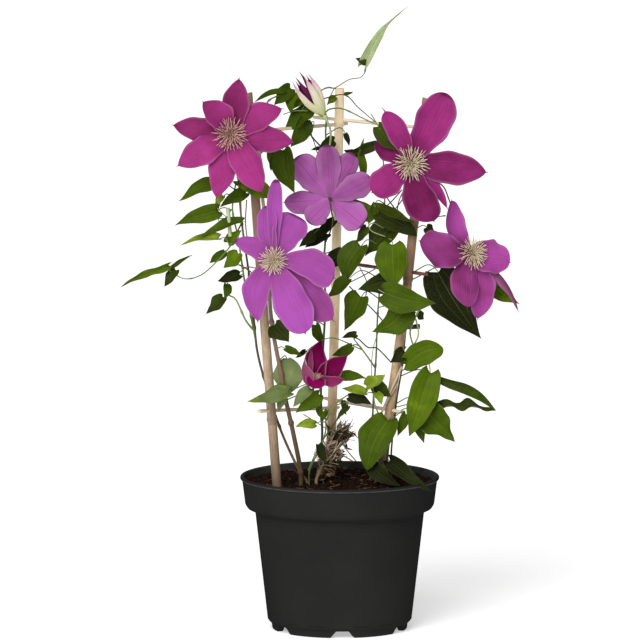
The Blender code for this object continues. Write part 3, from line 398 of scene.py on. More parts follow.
class Look:
    """A node material that is built up call by call."""

    def __init__(self, name, roughness, specular):
        """Starts from a new Principled shader with a roughness and a specular level."""
        self.material = bpy.data.materials.new(name)
        self.material.use_nodes = True
        self.nodes = self.material.node_tree.nodes
        self.links = self.material.node_tree.links
        self.shader = self.nodes["Principled BSDF"]
        self.shader.inputs["Roughness"].default_value = roughness
        self.shader.inputs["Specular IOR Level"].default_value = specular

    def put(self, value, socket):
        """Feeds a socket from a node's output, or sets it to a number or a screen colour."""
        if isinstance(value, bpy.types.NodeSocket):
            self.links.new(value, socket)
        elif socket.type == "RGBA":
            socket.default_value = (*paint(*value), 1)
        else:
            socket.default_value = value

    def add(self, kind, out, inputs, **settings):
        """Adds a node, sets it and returns one of its outputs."""
        node = self.nodes.new(kind)
        for key, value in settings.items():
            setattr(node, key, value)
        for key, value in inputs.items():
            self.put(value, node.inputs[key])
        return node.outputs[out]

    def math(self, operation, a, b=0.0):
        """One sum of two numbers."""
        return self.add("ShaderNodeMath", 0, {0: a, 1: b}, operation=operation)

    def mix(self, share, a, b):
        """Colour a with a share of colour b."""
        return self.add("ShaderNodeMix", 2, {0: share, 6: a, 7: b}, data_type="RGBA")

    def ramp(self, value, stops):
        """Screen colours, or plain shares, at places from 0 to 1."""
        node = self.nodes.new("ShaderNodeValToRGB")
        elements = node.color_ramp.elements
        elements[0].position, elements[1].position = stops[0][0], stops[-1][0]
        for at, _ in stops[1:-1]:
            elements.new(at)
        for element, (_, colour) in zip(elements, stops):
            shades = paint(*colour) if isinstance(colour, tuple) else (colour, colour, colour)
            element.color = (*shades, 1)
        self.links.new(value, node.inputs[0])
        return node.outputs[0]

    def grain(self, vector, scale, detail=3.0, stretch=(1, 1, 1), distortion=0.0):
        """Cloudy noise from 0 to 1, drawn out along an axis by a small stretch there."""
        vector = self.add("ShaderNodeMapping", 0, {"Vector": vector, "Scale": stretch})
        inputs = {"Vector": vector, "Scale": scale, "Detail": detail, "Distortion": distortion}
        return self.add("ShaderNodeTexNoise", 0, inputs)

    def mark(self, name):
        """A named mark of the mesh."""
        return self.add("ShaderNodeAttribute", 2, {}, attribute_name=name)

    def uneven(self, name, noise, reach):
        """A named mark, shifted up and down by noise: mark + (noise - 0.5) reach."""
        shift = self.math("MULTIPLY", self.math("SUBTRACT", noise, 0.5), reach)
        return self.math("ADD", self.mark(name), shift)

    def uv(self):
        """The UV, how far from the middle of the blade (0 to 1), and how far along it."""
        vector = self.add("ShaderNodeUVMap", 0, {}, uv_map="UVMap")
        parts = self.nodes.new("ShaderNodeSeparateXYZ")
        self.links.new(vector, parts.inputs[0])
        doubled = self.math("MULTIPLY_ADD", parts.outputs[0], 2.0)
        doubled.node.inputs[2].default_value = -1.0
        return vector, self.math("ABSOLUTE", doubled), parts.outputs[1]

    def object(self):
        """Places on the piece, in metres."""
        return self.add("ShaderNodeTexCoord", 3, {})

    def bump(self, height, strength, distance):
        """Relief from a height, in metres at its deepest."""
        inputs = {"Height": height, "Strength": strength, "Distance": distance}
        self.put(self.add("ShaderNodeBump", 0, inputs), self.shader.inputs["Normal"])

    def finish(self, colour, roughness=None, glow=0.0):
        """Sets the colour; glow is the share of light that comes through a thin blade."""
        self.put(colour, self.shader.inputs["Base Color"])
        if roughness is not None:
            self.put(roughness, self.shader.inputs["Roughness"])
        if glow:
            through = self.add("ShaderNodeBsdfTranslucent", 0, {"Color": colour})
            front = self.shader.outputs[0]
            mixed = self.add("ShaderNodeMixShader", 0, {0: glow, 1: front, 2: through})
            self.links.new(mixed, self.nodes["Material Output"].inputs["Surface"])
        return self.material


def floor_look():
    """White paper with the faintest unevenness."""
    look = Look("white_sweep", 0.9, 0.1)
    look.shader.inputs["Emission Color"].default_value = (1, 1, 1, 1)
    look.shader.inputs["Emission Strength"].default_value = FLOOR_GLOW
    return look.finish(look.ramp(look.grain(look.object(), 3.0), [(0.3, 0.9), (0.7, 0.93)]))


floor.data.materials.append(floor_look())

# %% [markdown]
# ## The pot
#
# A nursery pot is blown or moulded from black plastic: a tapered body, a taller band that gives a
# grip, a thin lip rolled outwards and a ring of feet with notches, so that water runs out. Turning
# one profile gives all but the feet. The notches and the thin drain slots beside them depend on the
# angle, so they are pressed into the turned surface by a formula.

# %% Pot
RIM_RADIUS = 84.86
POT_HEIGHT = 131.5
WALL = 1.6
BAND_TOP_RADIUS = 83.2
BAND_FOOT_RADIUS = 80.6
BAND_FOOT_Z = 107.5
BODY_TOP_RADIUS = 72.2
BODY_TOP_Z = 102.0
BODY_FOOT_RADIUS = 61.4
BODY_FOOT_Z = 8.4
FOOT_RADIUS = 58.0
FOOT_RING_WIDTH = 6.0
FOOT_HEIGHT = 4.8
FLOOR_TOP = 6.4
PAD_RADIUS = 14.0
NOTCH_COUNT = 6
NOTCH_WIDTH = 21.0
NOTCH_HEIGHT = 6.0
NOTCH_SLOPE = 1.14
NOTCH_SHIFT = 2.3
SLOT_OFFSET = 19.0
SLOT_HALF_LENGTH = 7.0
SLOT_Z = 9.4
SLOT_DEPTH = 0.9
CORNER_RADIUS = 1.1
CORNER_STEPS = 5
POT_SIDES = 360
SOIL_Z = 125.0

POT_OUTSIDE = [
    (0.4, 0),
    (PAD_RADIUS, 0),
    (PAD_RADIUS, FOOT_HEIGHT),
    (FOOT_RADIUS - FOOT_RING_WIDTH, FOOT_HEIGHT),
    (FOOT_RADIUS - FOOT_RING_WIDTH, 0),
    (FOOT_RADIUS - 0.6, 0),
    (FOOT_RADIUS, FOOT_HEIGHT),
    (BODY_FOOT_RADIUS, BODY_FOOT_Z),
    (BODY_TOP_RADIUS, BODY_TOP_Z),
    (BODY_TOP_RADIUS + 2.4, BODY_TOP_Z + 1.6),
    (BAND_FOOT_RADIUS - 2.0, BAND_FOOT_Z - 3.4),
    (BAND_FOOT_RADIUS, BAND_FOOT_Z),
    (BAND_TOP_RADIUS, POT_HEIGHT - 3.4),
    (RIM_RADIUS, POT_HEIGHT - 2.6),
    (RIM_RADIUS, POT_HEIGHT - 0.9),
    (RIM_RADIUS - 0.9, POT_HEIGHT),
]
POT_INSIDE = [
    (RIM_RADIUS - 3.0, POT_HEIGHT - 0.2),
    (BAND_TOP_RADIUS - WALL, POT_HEIGHT - 2.0),
    (BAND_FOOT_RADIUS - WALL, BAND_FOOT_Z + 0.4),
    (BAND_FOOT_RADIUS - 3.4, BAND_FOOT_Z - 1.8),
    (BODY_TOP_RADIUS + 1.0, BODY_TOP_Z + 3.2),
    (BODY_TOP_RADIUS - WALL, BODY_TOP_Z + 1.2),
    (BODY_FOOT_RADIUS - WALL, BODY_FOOT_Z + 0.8),
    (FOOT_RADIUS - WALL, FLOOR_TOP),
    (0.4, FLOOR_TOP),
]


def rounded(corners, radius, steps):
    """Each corner of an open outline becomes a quadratic bend between points `radius` before and
    after it, or half a side away where a side is short: (1-f)2 a + 2 f (1-f) c + f2 b."""
    corners = np.asarray(corners, float)
    before, at, after = corners[:-2], corners[1:-1], corners[2:]
    gap_in = np.linalg.norm(before - at, axis=1, keepdims=True)
    gap_out = np.linalg.norm(after - at, axis=1, keepdims=True)
    start = at + (before - at) / gap_in * np.minimum(radius, 0.45 * gap_in)
    end = at + (after - at) / gap_out * np.minimum(radius, 0.45 * gap_out)
    f = np.linspace(0, 1, steps)[None, :, None]
    bends = (1 - f) ** 2 * start[:, None] + 2 * f * (1 - f) * at[:, None] + f**2 * end[:, None]
    return np.vstack([corners[:1], bends.reshape(-1, 2), corners[-1:]])


def step(value, edge, soft):
    """0 below the edge and 1 above it, with a soft ramp between."""
    x = np.clip((value - edge) / soft + 0.5, 0, 1)
    return x * x * (3 - 2 * x)


def pot_relief(angle, radius, height):
    """Lifts the foot ring at each notch to slope (half width - distance), from 0 to the height of
    the notch, and presses in a thin drain slot on each side of it."""
    pitch = 2 * np.pi / NOTCH_COUNT
    around = ((angle + np.pi / 2 + pitch / 2) % pitch - pitch / 2) * FOOT_RADIUS
    distance = np.abs(around - NOTCH_SHIFT)
    opening = np.clip((NOTCH_WIDTH / 2 - distance) * NOTCH_SLOPE, 0, NOTCH_HEIGHT)
    ring = (radius > FOOT_RADIUS - FOOT_RING_WIDTH - 2) & (radius < FOOT_RADIUS + 1.2)
    height = np.where(ring & (height < NOTCH_HEIGHT), np.maximum(height, opening), height)
    slot_at = np.abs(np.abs(around) - SLOT_OFFSET)
    slot = step(SLOT_HALF_LENGTH - slot_at, 0, 1.0) * np.exp(-(((height - SLOT_Z) / 0.7) ** 2))
    return radius - np.where(radius > FOOT_RADIUS, SLOT_DEPTH * slot, 0), height


def pot_look():
    """Black plastic with a soft grain, faint rings from the mould, and grey dust where marked."""
    look = Look("black_plastic", 0.5, 0.0)
    where = look.object()
    dust = look.grain(where, 14.0, 4.0)
    fine = look.grain(where, 900.0, 2.0)
    rings = look.grain(where, 1.0, 3.0, (6, 6, 260))
    colour = look.ramp(dust, [(0.3, (31, 31, 31)), (0.75, (38, 38, 37))])
    colour = look.mix(look.math("MULTIPLY", fine, 0.2), colour, (48, 47, 46))
    patches = look.ramp(look.grain(where, 120.0, 5.0), [(0.3, 0.45), (0.7, 1.0)])
    colour = look.mix(look.math("MULTIPLY", look.mark("dust"), patches), colour, (104, 103, 100))
    height = look.math("ADD", look.math("MULTIPLY", fine, 0.5), look.math("MULTIPLY", rings, 0.5))
    look.bump(height, 0.35, 0.0004)
    return look.finish(colour, look.ramp(dust, [(0.2, 0.5), (0.8, 0.62)]))


def pot_dust(profile):
    """How dusty each row of the profile is: the lip's lower edge a little, the inner wall more."""
    radius, height = profile[:, 0], profile[:, 1]
    inner = np.arange(len(profile)) > np.argmax(height)
    lip = np.exp(-(((height - POT_HEIGHT + 2.4) / 0.5) ** 2)) * (radius > RIM_RADIUS - 0.8) * ~inner
    return 0.55 * lip + 0.32 * (inner & (height > SOIL_Z - 4))


# Close rows low on the body, where the slots are.
close_rows = np.linspace(0, 1, 26)[1:-1, None]
low_body = np.array([BODY_FOOT_RADIUS, BODY_FOOT_Z]) + close_rows * [0.7, 6.0]
pot_profile = rounded(POT_OUTSIDE + POT_INSIDE, CORNER_RADIUS, CORNER_STEPS)
split = np.argmax((pot_profile[:, 0] > FOOT_RADIUS + 1) & (pot_profile[:, 1] > BODY_FOOT_Z))
pot_profile = np.vstack([pot_profile[: split + 1], low_body, pot_profile[split + 3 :]])
pot = turned_shape(pot_profile, POT_SIDES, pot_relief, dust=pot_dust(pot_profile)[:, None])
make_piece("nursery_pot", [pot], pot_look(), ["pot"])

# %% [markdown]
# ## Potting soil
#
# Damp peat is a heap of crumbs from dust to pea size, with root hairs and bits of bark. A bump map
# alone looks like carpet at the rim. So the bed is a lumpy disc, and over it lie many small crumbs,
# each a rough five-sided pebble of its own size and turn.

# %% Soil
SOIL_RADIUS = 79.8
SOIL_LUMP = 1.2
SOIL_SIDES = 180
SOIL_TOP_ROWS = 90
CRUMB_COUNT = 1500
CRUMB_SIZE = 2.1
ROOT_HAIR_COUNT = 60
ROOT_HAIR_REACH = 77
SOIL_SEED = 7
SOIL_SIDE = [
    (0.4, 8.0), (54.0, 8.0), (58.5, 11.0), (69.4, 102.0), (69.4, 106.0), (77.0, 109.5),
    (SOIL_RADIUS, 123.0),
]


def soil_height(x, y):
    """The lumpy top of the soil: three crossed waves, as in the solid."""
    long_wave = np.sin(0.13 * (x + y))
    cross_wave = np.sin(0.21 * x + 1.3) * np.cos(0.17 * y)
    short_wave = np.cos(0.31 * x - 0.24 * y)
    return SOIL_Z + SOIL_LUMP * (long_wave + cross_wave + short_wave) / 2


def soil_relief(angle, radius, height):
    """Adds the waves and a fine crossed roughness to every point of the top."""
    x, y = radius * np.cos(angle), radius * np.sin(angle)
    rough = np.sin(1.9 * x + 2.1 * np.sin(1.3 * y)) * np.cos(2.3 * y + 1.7 * np.sin(1.1 * x))
    fine = np.sin(4.1 * x + 1.2 * y) * np.sin(3.7 * y - 1.9 * x)
    top = soil_height(x, y) + 0.7 * rough + 0.35 * fine
    return radius, np.where(height > SOIL_Z - 1, np.minimum(top, SOIL_Z + 3.2), height)


def soil_look():
    """Damp peat: near black, with rusty and grey-brown specks."""
    look = Look("peat", 0.92, 0.08)
    where = look.object()
    coarse = look.grain(where, 260.0, 6.0)
    specks = look.grain(where, 700.0, 2.0)
    colour = look.ramp(coarse, [(0.32, (10, 5, 4)), (0.5, (26, 13, 9)), (0.72, (58, 30, 20))])
    colour = look.mix(look.ramp(specks, [(0.68, 0.0), (0.76, 0.5)]), colour, (96, 68, 50))
    look.bump(coarse, 1.0, 0.0015)
    return look.finish(colour)


rng = np.random.default_rng(SOIL_SEED)
soil_top = [(r, SOIL_Z) for r in np.linspace(SOIL_RADIUS - 0.5, 0.4, SOIL_TOP_ROWS)]
bed = turned_shape(np.array(SOIL_SIDE + soil_top), SOIL_SIDES, soil_relief)
soil_material = soil_look()
make_piece("soil_bed", [bed], soil_material, ["soil"])


def crumb(centre, size, squash, turn):
    """A rough pebble: four rings of five points with their radii jogged."""
    height = np.array([-1, -0.45, 0.4, 1])[:, None] * squash
    around = np.array([0.35, 0.95, 1.0, 0.4])[:, None] * rng.uniform(0.7, 1.3, (4, 5))
    angle = np.arange(5) / 5 * 2 * np.pi + turn
    rings = np.broadcast_arrays(around * np.cos(angle), around * np.sin(angle), height)
    rings = np.stack(rings, -1)
    uv = np.stack(np.broadcast_arrays(np.arange(6) / 5, np.arange(4)[:, None] / 4), -1)
    return shape(centre + rings * size, uv)


crumbs = []
crumb_radii = SOIL_RADIUS * rng.uniform(0, 0.985, CRUMB_COUNT) ** 0.55
crumb_angles = rng.uniform(0, 6.28, CRUMB_COUNT)
for radius, angle in zip(crumb_radii, crumb_angles):
    x, y = radius * np.cos(angle), radius * np.sin(angle)
    size = rng.uniform(0.45, 1.0) ** 2 * CRUMB_SIZE
    centre = np.array([x, y, soil_height(x, y) + 0.25 * size])
    crumbs.append(crumb(centre, size, rng.uniform(0.5, 0.9), angle * 5))
make_piece("soil_crumbs", crumbs, soil_material, smooth=False)

hairs = []
for _ in range(ROOT_HAIR_COUNT):
    radius = (ROOT_HAIR_REACH - 3) * rng.uniform(0.1, 1) ** 0.6
    angle = rng.uniform(0, 2 * np.pi)
    start = np.array([radius * np.cos(angle), radius * np.sin(angle)])
    walk = start + np.cumsum(rng.normal(0, 2.4, (4, 2)), axis=0)
    far = np.maximum(np.linalg.norm(walk, axis=1), 1)
    walk *= np.minimum(1, ROOT_HAIR_REACH / far)[:, None]
    z = soil_height(walk[:, 0], walk[:, 1]) + rng.uniform(0.7, 2.2, 4)
    path = curve(np.column_stack([walk, z]), 1.5)
    hairs.append(tube(path, rng.uniform(0.14, 0.3), 4, wood=0.7))

# %% [markdown]
# ## Bamboo canes and rungs
#
# Each cane is a thin bamboo culm: straight lengths that change direction a little at the knots,
# with a ridge and a scar at each. The grain runs the whole length, so the colour comes from noise
# stretched along the UV's length. The rungs are split sticks pushed through the canes.

# %% Canes and rungs
CANE_RADIUS = 4.0
CANE_SINK = 95.0
CANE_KNOTS = (0.36, 0.64, 0.93)
KNOT_SWELL = 1.14
# Shares of a cane's length: a knot's width, how far its scar is below it, and the scar's width.
KNOT_WIDTH = 0.0045
SCAR_BELOW = 0.0085
SCAR_WIDTH = 0.0018
CANE_ROWS = 420
CANE_SIDES = 28
RUNG_RADIUS = 1.5
RUNG_SIDES = 12
CANES = {
    "cane_left": ((-53, -28, 122), (-66, -21.5, 292), (-78, -15, 462)),
    "cane_back": ((-8, 38, 122), (-3.5, 39, 290), (0, 40, 459)),
    "cane_right": ((33, -4, 122), (56, 3, 280), (74, 10, 454)),
}
# The two canes, the height at each, and how far the rung sticks out beyond each.
RUNGS = {
    "rung_low_left": ("cane_left", "cane_back", 191, 184, 17, 9),
    "rung_low_right": ("cane_back", "cane_right", 191, 188, 9, 15),
    "rung_middle_left": ("cane_left", "cane_back", 306, 303, 10, 9),
    "rung_middle_right": ("cane_back", "cane_right", 310, 306, 9, 19),
    "rung_top_left": ("cane_left", "cane_back", 429, 428, 10, 9),
    "rung_top_right": ("cane_back", "cane_right", 432, 429, 24, 12),
}
# The slot, then the dark and light of the fibres, the stain and the colour of the top. The top
# colour is painted shade on the left and right canes, under the blooms, and painted light on the
# back cane, whose pale fibre colours also partly paint in the bright light on it.
CANE_FINISH = {
    "cane_left": ("bamboo_brown", (142, 118, 94), (206, 182, 150), (92, 72, 56), (112, 72, 58)),
    "cane_back": ("bamboo_pale", (222, 188, 146), (250, 230, 192), (170, 126, 88), (250, 230, 194)),
    "cane_right": ("bamboo_tan", (164, 134, 102), (216, 188, 146), (110, 82, 58), (104, 66, 50)),
}


def cane_line(name):
    """The cane's middle line: its foot in the soil and its three points."""
    low, middle, top = np.array(CANES[name], float)
    lean = (middle - low) / (middle[2] - low[2])
    return np.array([low - lean * CANE_SINK, low, middle, top])


def cane_point(name, z):
    """Where the cane's middle line is at a height."""
    line = cane_line(name)
    return np.stack([np.interp(z, line[:, 2], line[:, k]) for k in range(3)], -1)


def cane_shape(name):
    """A tube that swells at each knot, with a narrow scar just below, and a rough cut top."""
    line = cane_line(name)
    share = np.concatenate([np.linspace(0, 0.9995, CANE_ROWS), [1.0]])
    path = cane_point(name, line[0, 2] + share * (line[-1, 2] - line[0, 2]))
    path[-1, 2] = path[-2, 2] + 0.05
    angle = np.arange(CANE_SIDES) / CANE_SIDES * 2 * np.pi
    swell, scar = np.zeros_like(share), np.zeros_like(share)
    for knot in CANE_KNOTS:
        swell += np.exp(-(((share - knot) / KNOT_WIDTH) ** 2))
        scar += np.exp(-(((share - knot + SCAR_BELOW) / SCAR_WIDTH) ** 2))
    radius = 1 + (KNOT_SWELL - 1) * swell - 0.05 * scar - 0.03 * share**8
    phase = 6 if name == "cane_back" else 3
    fibres = 0.006 * np.sin(9 * angle + phase) + 0.005 * np.sin(17 * angle)
    radius = CANE_RADIUS * (radius[:, None] + fibres[None, :])
    radius[-1] *= 0.86
    knot_mark = np.clip(swell + 1.5 * scar, 0, 1)[:, None]
    return tube(path, radius, CANE_SIDES, knot=np.broadcast_to(knot_mark, radius.shape))


def bamboo_look(name, dark, light, stain, top):
    """Dry bamboo: fibres along the culm, blotches and flecks of stain, dark scars at the knots, a
    damp foot, and painted light and shade towards the top, where it turns to the top colour."""
    look = Look(name, 0.5, 0.3)
    vector, _, along = look.uv()
    fibre = look.grain(vector, 60.0, 4.0, (1.4, 0.12, 1))
    blotch = look.grain(vector, 3.0, 5.0, (0.6, 1.6, 1))
    colour = look.ramp(fibre, [(0.3, dark), (0.7, light)])
    colour = look.mix(look.ramp(blotch, [(0.42, 0.0), (0.75, 0.55)]), colour, stain)
    fleck = look.grain(vector, 70.0, 3.0, (0.5, 1.3, 1))
    colour = look.mix(look.ramp(fleck, [(0.6, 0.0), (0.68, 0.75)]), colour, stain)
    colour = look.mix(look.math("MULTIPLY", look.mark("knot"), 0.4), colour, stain)
    height = look.math("MULTIPLY", along, 0.2)
    colour = look.mix(look.ramp(height, [(0.2, 0.85), (0.37, 0.0)]), colour, stain)
    # Painted light and shade: higher up the colour turns to the top colour, darker where blooms
    # shade the cane and paler on the brightly lit back cane.
    colour = look.mix(look.ramp(height, [(0.45, 0.0), (0.55, 0.6)]), colour, top)
    look.bump(fibre, 0.5, 0.0004)
    return look.finish(colour, look.ramp(fibre, [(0.2, 0.62), (0.8, 0.45)]))


for name, (slot, *colours) in CANE_FINISH.items():
    make_piece(name + "_bamboo", [cane_shape(name)], bamboo_look(slot, *colours), [name])


def stick_look(name, dark, light, stain):
    """A split stick with short dark fibres."""
    look = Look(name, 0.6, 0.2)
    vector, _, _ = look.uv()
    fibre = look.grain(vector, 50.0, 4.0, (1.0, 0.3, 1))
    colour = look.ramp(fibre, [(0.3, dark), (0.6, light)])
    tip = look.grain(vector, 4.0, 3.0)
    colour = look.mix(look.ramp(tip, [(0.5, 0.0), (0.8, 0.5)]), colour, stain)
    look.bump(fibre, 0.4, 0.0003)
    return look.finish(colour)


stick_material = stick_look("split_stick", (206, 186, 154), (232, 218, 192), (168, 122, 88))
stained_stick = stick_look("stained_stick", (84, 50, 42), (122, 82, 66), (66, 40, 34))
for name, (first, second, z_first, z_second, stub_first, stub_second) in RUNGS.items():
    a, b = cane_point(first, z_first), cane_point(second, z_second)
    along = unit(b - a)
    path = even(np.array([a - along * stub_first, b + along * stub_second]), 2.0)
    ripple = 1 + 0.05 * np.sin(np.linspace(0, 37, len(path)))[:, None] * np.ones(RUNG_SIDES)
    ripple[[0, -1]] *= 0.8
    finish = stained_stick if name == "rung_middle_right" else stick_material
    stick = tube(path, RUNG_RADIUS * ripple, RUNG_SIDES)
    make_piece(name + "_stick", [stick], finish, [name])

# %% [markdown]
# ## The plant clip
#
# A small black plastic clip holds a stem to the right cane. The solid has its true shape, a flat
# loop, so it keeps its mesh and only takes a finish. A little clasp that sticks out is new.

# %% Clip
CLIP_Z = 259.0
CLASP_SIDES = 16
CLASP_HALF_WIDTH = 2.0
CLASP_SQUARENESS = 0.85


def clip_look():
    """Black plastic, a little shinier than the pot."""
    look = Look("clip_black", 0.38, 0.5)
    speck = look.grain(look.object(), 1200.0, 2.0)
    look.bump(speck, 0.2, 0.0002)
    return look.finish(look.ramp(speck, [(0.3, (22, 22, 24)), (0.8, (44, 45, 48))]))


clip_material = clip_look()
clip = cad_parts["clip"]
clip.data.materials.clear()
clip.data.materials.append(clip_material)
clasp_start = cane_point("cane_right", CLIP_Z) + [11.0, -1.0, 0.4]
clasp_path = even(np.array([clasp_start, clasp_start + [4.2, -0.8, 0.2]]), 0.6)
clasp_turn = np.arange(CLASP_SIDES) / CLASP_SIDES * 2 * np.pi
clasp_ring = np.maximum(np.abs(np.cos(clasp_turn)), np.abs(np.sin(clasp_turn))) ** CLASP_SQUARENESS
clasp_ring = np.tile(CLASP_HALF_WIDTH / clasp_ring, (len(clasp_path), 1))
clasp = tube(clasp_path, clasp_ring, CLASP_SIDES)
make_piece("clip_clasp", [clasp], clip_material)

# %% [markdown]
# ## Blooms
#
# What looks like a clematis petal is a tepal: there is one whorl of them, in two overlapping
# layers, with three veins close along the middle of each. Every tepal has its own length, width and
# wave, so each is drawn by its tip on the plan, and the formula of the blade does the rest. One
# bloom is seen from behind, where the tepals are paler and the veins stand out.

# %% Blooms
TEPAL = {
    "point": 0.045,
    "fold": 0.12,
    "arch": 0.04,
    "ruffle": 0.1,
    "waves": 1.6,
    "groove": 0.5,
    "veins": (0.0, 0.17, 0.34),
    "vein_width": 0.05,
    "thickness": 0.5,
}
# How far the receptacle reaches behind and before the bloom's centre, how far the stamens stand
# clear of it, and where the two layers of tepals lie.
RECEPTACLE_BACK = 3.0
RECEPTACLE_FRONT = 1.2
STAMEN_GAP = 0.3
UPPER_LAYER = -0.6
LOWER_LAYER = -1.8
TEPAL_GRID = (48, 41)
TEPAL_SEED = 40

# Which way a bloom looks is in degrees round to the right and up. Its tepals are u and v of the
# tip, how far the tip stands forward, the width, how blunt it is, the roll, the tone, the cup and
# the tepal's own changes of form. The tone paints in how much light each tepal catches: a low tone
# is painted shade and a high one painted light.
BLOOMS = {
    "bloom_upper_left": {
        "centre": (-93, 419, -56),
        "looks": (4, 6),
        "stamens": 1.0,
        "tepals": (
            (-85, 468, -3, 25, 0.1, 0, 0.1, 0.5),
            (-47, 441, 5, 26, 0.15, -14, 0.55, -0.6, {"sweep": -0.07}),
            (-37, 412, -2, 25, 0.1, 10, 0.6, -0.5, {"ruffle": 0.16}),
            (-65, 368, 4, 28, 0.15, 0, 0.95, -0.6, {"arch": 0.1}),
            (-105, 363, -3, 25, 0.1, 0, 0.9, -0.5),
            (-139, 391, 2, 26, 0.1, 10, 0.85, -0.5),
            (-143, 427, -3, 22, 0.15, -10, 0.15, -0.4),
            (-117, 447, 10, 25, 0.35, 6, 0.5, 0.6, {"sweep": 0.08}),
        ),
    },
    "bloom_upper_right": {
        "centre": (60, 395, -28),
        "looks": (5, 4),
        "stamens": 1.05,
        "tepals": (
            (35, 443, 8, 20, 0.8, -10, 0.95, 0.6, {"sweep": 0.06, "point": 0.1}),
            (91, 454, 2, 34, 0.8, 0, 0.85, 0.5, {"point": 0.0, "arch": 0.08}),
            (127, 387, 0, 30, 0.25, 8, 0.45, 0.5, {"sweep": -0.03, "arch": 0.08}),
            (81, 344, 8, 32, 0.85, 14, 0.05, 0.7, {"sweep": 0.06, "ruffle": 0.2}),
            (26, 369, 6, 28, 0.8, 0, 0.9, -0.5),
            (29, 413, -8, 24, 0.6, 16, 0.15, 0.6),
            (92, 355, 9.5, 10, 0.3, -20, 1.2, 0.4, {"sweep": -0.05}),
        ),
    },
    "bloom_middle": {
        "centre": (-8, 365, -6),
        "looks": (176, -4),
        "stamens": 0.9,
        "tepals": (
            (-38, 400, 5, 29, 1.0, 0, 0.75, 0.7, {"point": 0.0}),
            (-11, 411, -1, 23, 0.8, 0, 0.25, 0.6, {"point": 0.0}),
            (11, 404, 6, 22, 0.9, 0, 0.3, 0.7, {"point": 0.0}),
            (27, 382, -1, 24, 0.8, 0, 0.35, 0.6, {"point": 0.0}),
            (20, 343, 4, 27, 1.0, 0, 1.0, 0.5, {"point": 0.0}),
            (-27, 345, -2, 22, 0.8, 0, 0.9, 0.6, {"point": 0.0}),
            (-49, 362, 4, 23, 0.7, 14, 1.1, 0.8),
        ),
    },
    "bloom_left": {
        "centre": (-56, 312, -64),
        "looks": (-6, 8),
        "stamens": 0.8,
        "tepals": (
            (-54, 381, -2, 14, 0.9, 0, 0.75, 0.5, {"point": 0.0}),
            (-61, 359, -3, 19, 0.8, -8, 0.7, 0.5, {"point": 0.0, "sweep": -0.04}),
            (-36, 350, -6, 30, 1.0, 0, 0.6, 0.5, {"fall": 0.34, "point": 0.0}),
            (-3, 296, 4, 29, 1.0, 0, 0.55, 0.4, {"sweep": -0.12, "fall": 0.32}),
            (-4, 260, -7, 33, 0.5, 8, 0.1, 0.4),
            (-28, 248, 4, 33, 0.8, 0, 1.0, -0.5, {"ruffle": 0.22, "arch": 0.09}),
            (-69, 258, -2, 25, 0.1, 0, 0.7, 0.5, {"sweep": 0.15}),
            (-89, 329, 5, 19, 0.9, 12, 0.5, -0.5, {"point": 0.0, "sweep": 0.08, "rise": 0.5,
                "fall": 0.6}),
        ),
    },
    "bloom_right": {
        "centre": (111, 319, -12),
        "looks": (28, 10),
        "stamens": 0.95,
        "tepals": (
            (95, 366, 0, 23, 0.5, 12, 1.3, 0.7, {"sweep": -0.22}),
            (66, 330, 3, 32, 0.9, 0, 0.3, 0.5, {"sweep": -0.1, "ruffle": 0.2}),
            (109, 271, 4, 29, 0.5, 0, 0.3, -0.5, {"sweep": 0.09}),
            (117, 261, -4, 27, 0.5, 0, 0.6, 0.5, {"sweep": -0.08}),
            (146, 311, 2, 30, 0.6, 0, 1.1, 0.5, {"rise": 0.6, "ruffle": 0.2}),
            (153, 267, -6, 16, 0.1, 125, 0.0, 0.8, {"arch": -0.12}),
        ),
    },
}
HALF_OPEN = {"centre": (-20, 210, -34), "looks": (18, 38), "stamens": 0.4}
# Foot and tip on the plan, the width, roll, tone and cup, how pale it is, own changes of form.
# The tone paints in each tepal's light and shade.
HALF_OPEN_TEPALS = (
    ((-20, 209, -33), (-15, 247, -24), 22, 0, 0.9, 0.7, 0.0, {"sweep": -0.09, "fall": 1.15}),
    ((-19, 209, -33), (8, 233, -26), 20, 0, 0.55, 0.7, 0.0, {"sweep": -0.03, "fall": 1.15}),
    ((-25, 211, -37), (-24, 238, -31), 5, 20, 1.3, 0.5, 0.12, {"sweep": -0.06, "point": 0.0}),
    ((-28, 207, -38), (-30, 230, -36), 4.5, 45, 1.0, 0.7, 0.9, {"sweep": -0.08, "point": 0.0}),
    ((-25, 206, -41), (-31, 225, -40), 11, 10, 1.3, 0.5, 0.16, {"point": 0.0}),
    ((-20, 213, -38), (-22, 204, -46), 19, 0, 1.3, 0.5, 0.0, {"rise": 0.5, "fall": 0.3,
        "point": 0.0}),
    ((-17, 212, -37), (5, 212, -40), 10, 0, 1.3, 0.5, 0.05, {"sweep": 0.08}),
)


def look_direction(looks):
    """The unit vector for degrees round to the right and degrees up; zero looks at the viewer."""
    turn, rise = np.radians(looks)
    return np.array([np.sin(turn) * np.cos(rise), -np.cos(turn) * np.cos(rise), np.sin(rise)])


def tip_point(u, v, forward, centre, axis):
    """The point seen at (u, v) that stands forward of the bloom's plane by a distance."""
    near = place((u, v, 0))
    step_back = place((u, v, 1)) - near
    return near + step_back * (forward - np.dot(axis, near - centre)) / np.dot(axis, step_back)


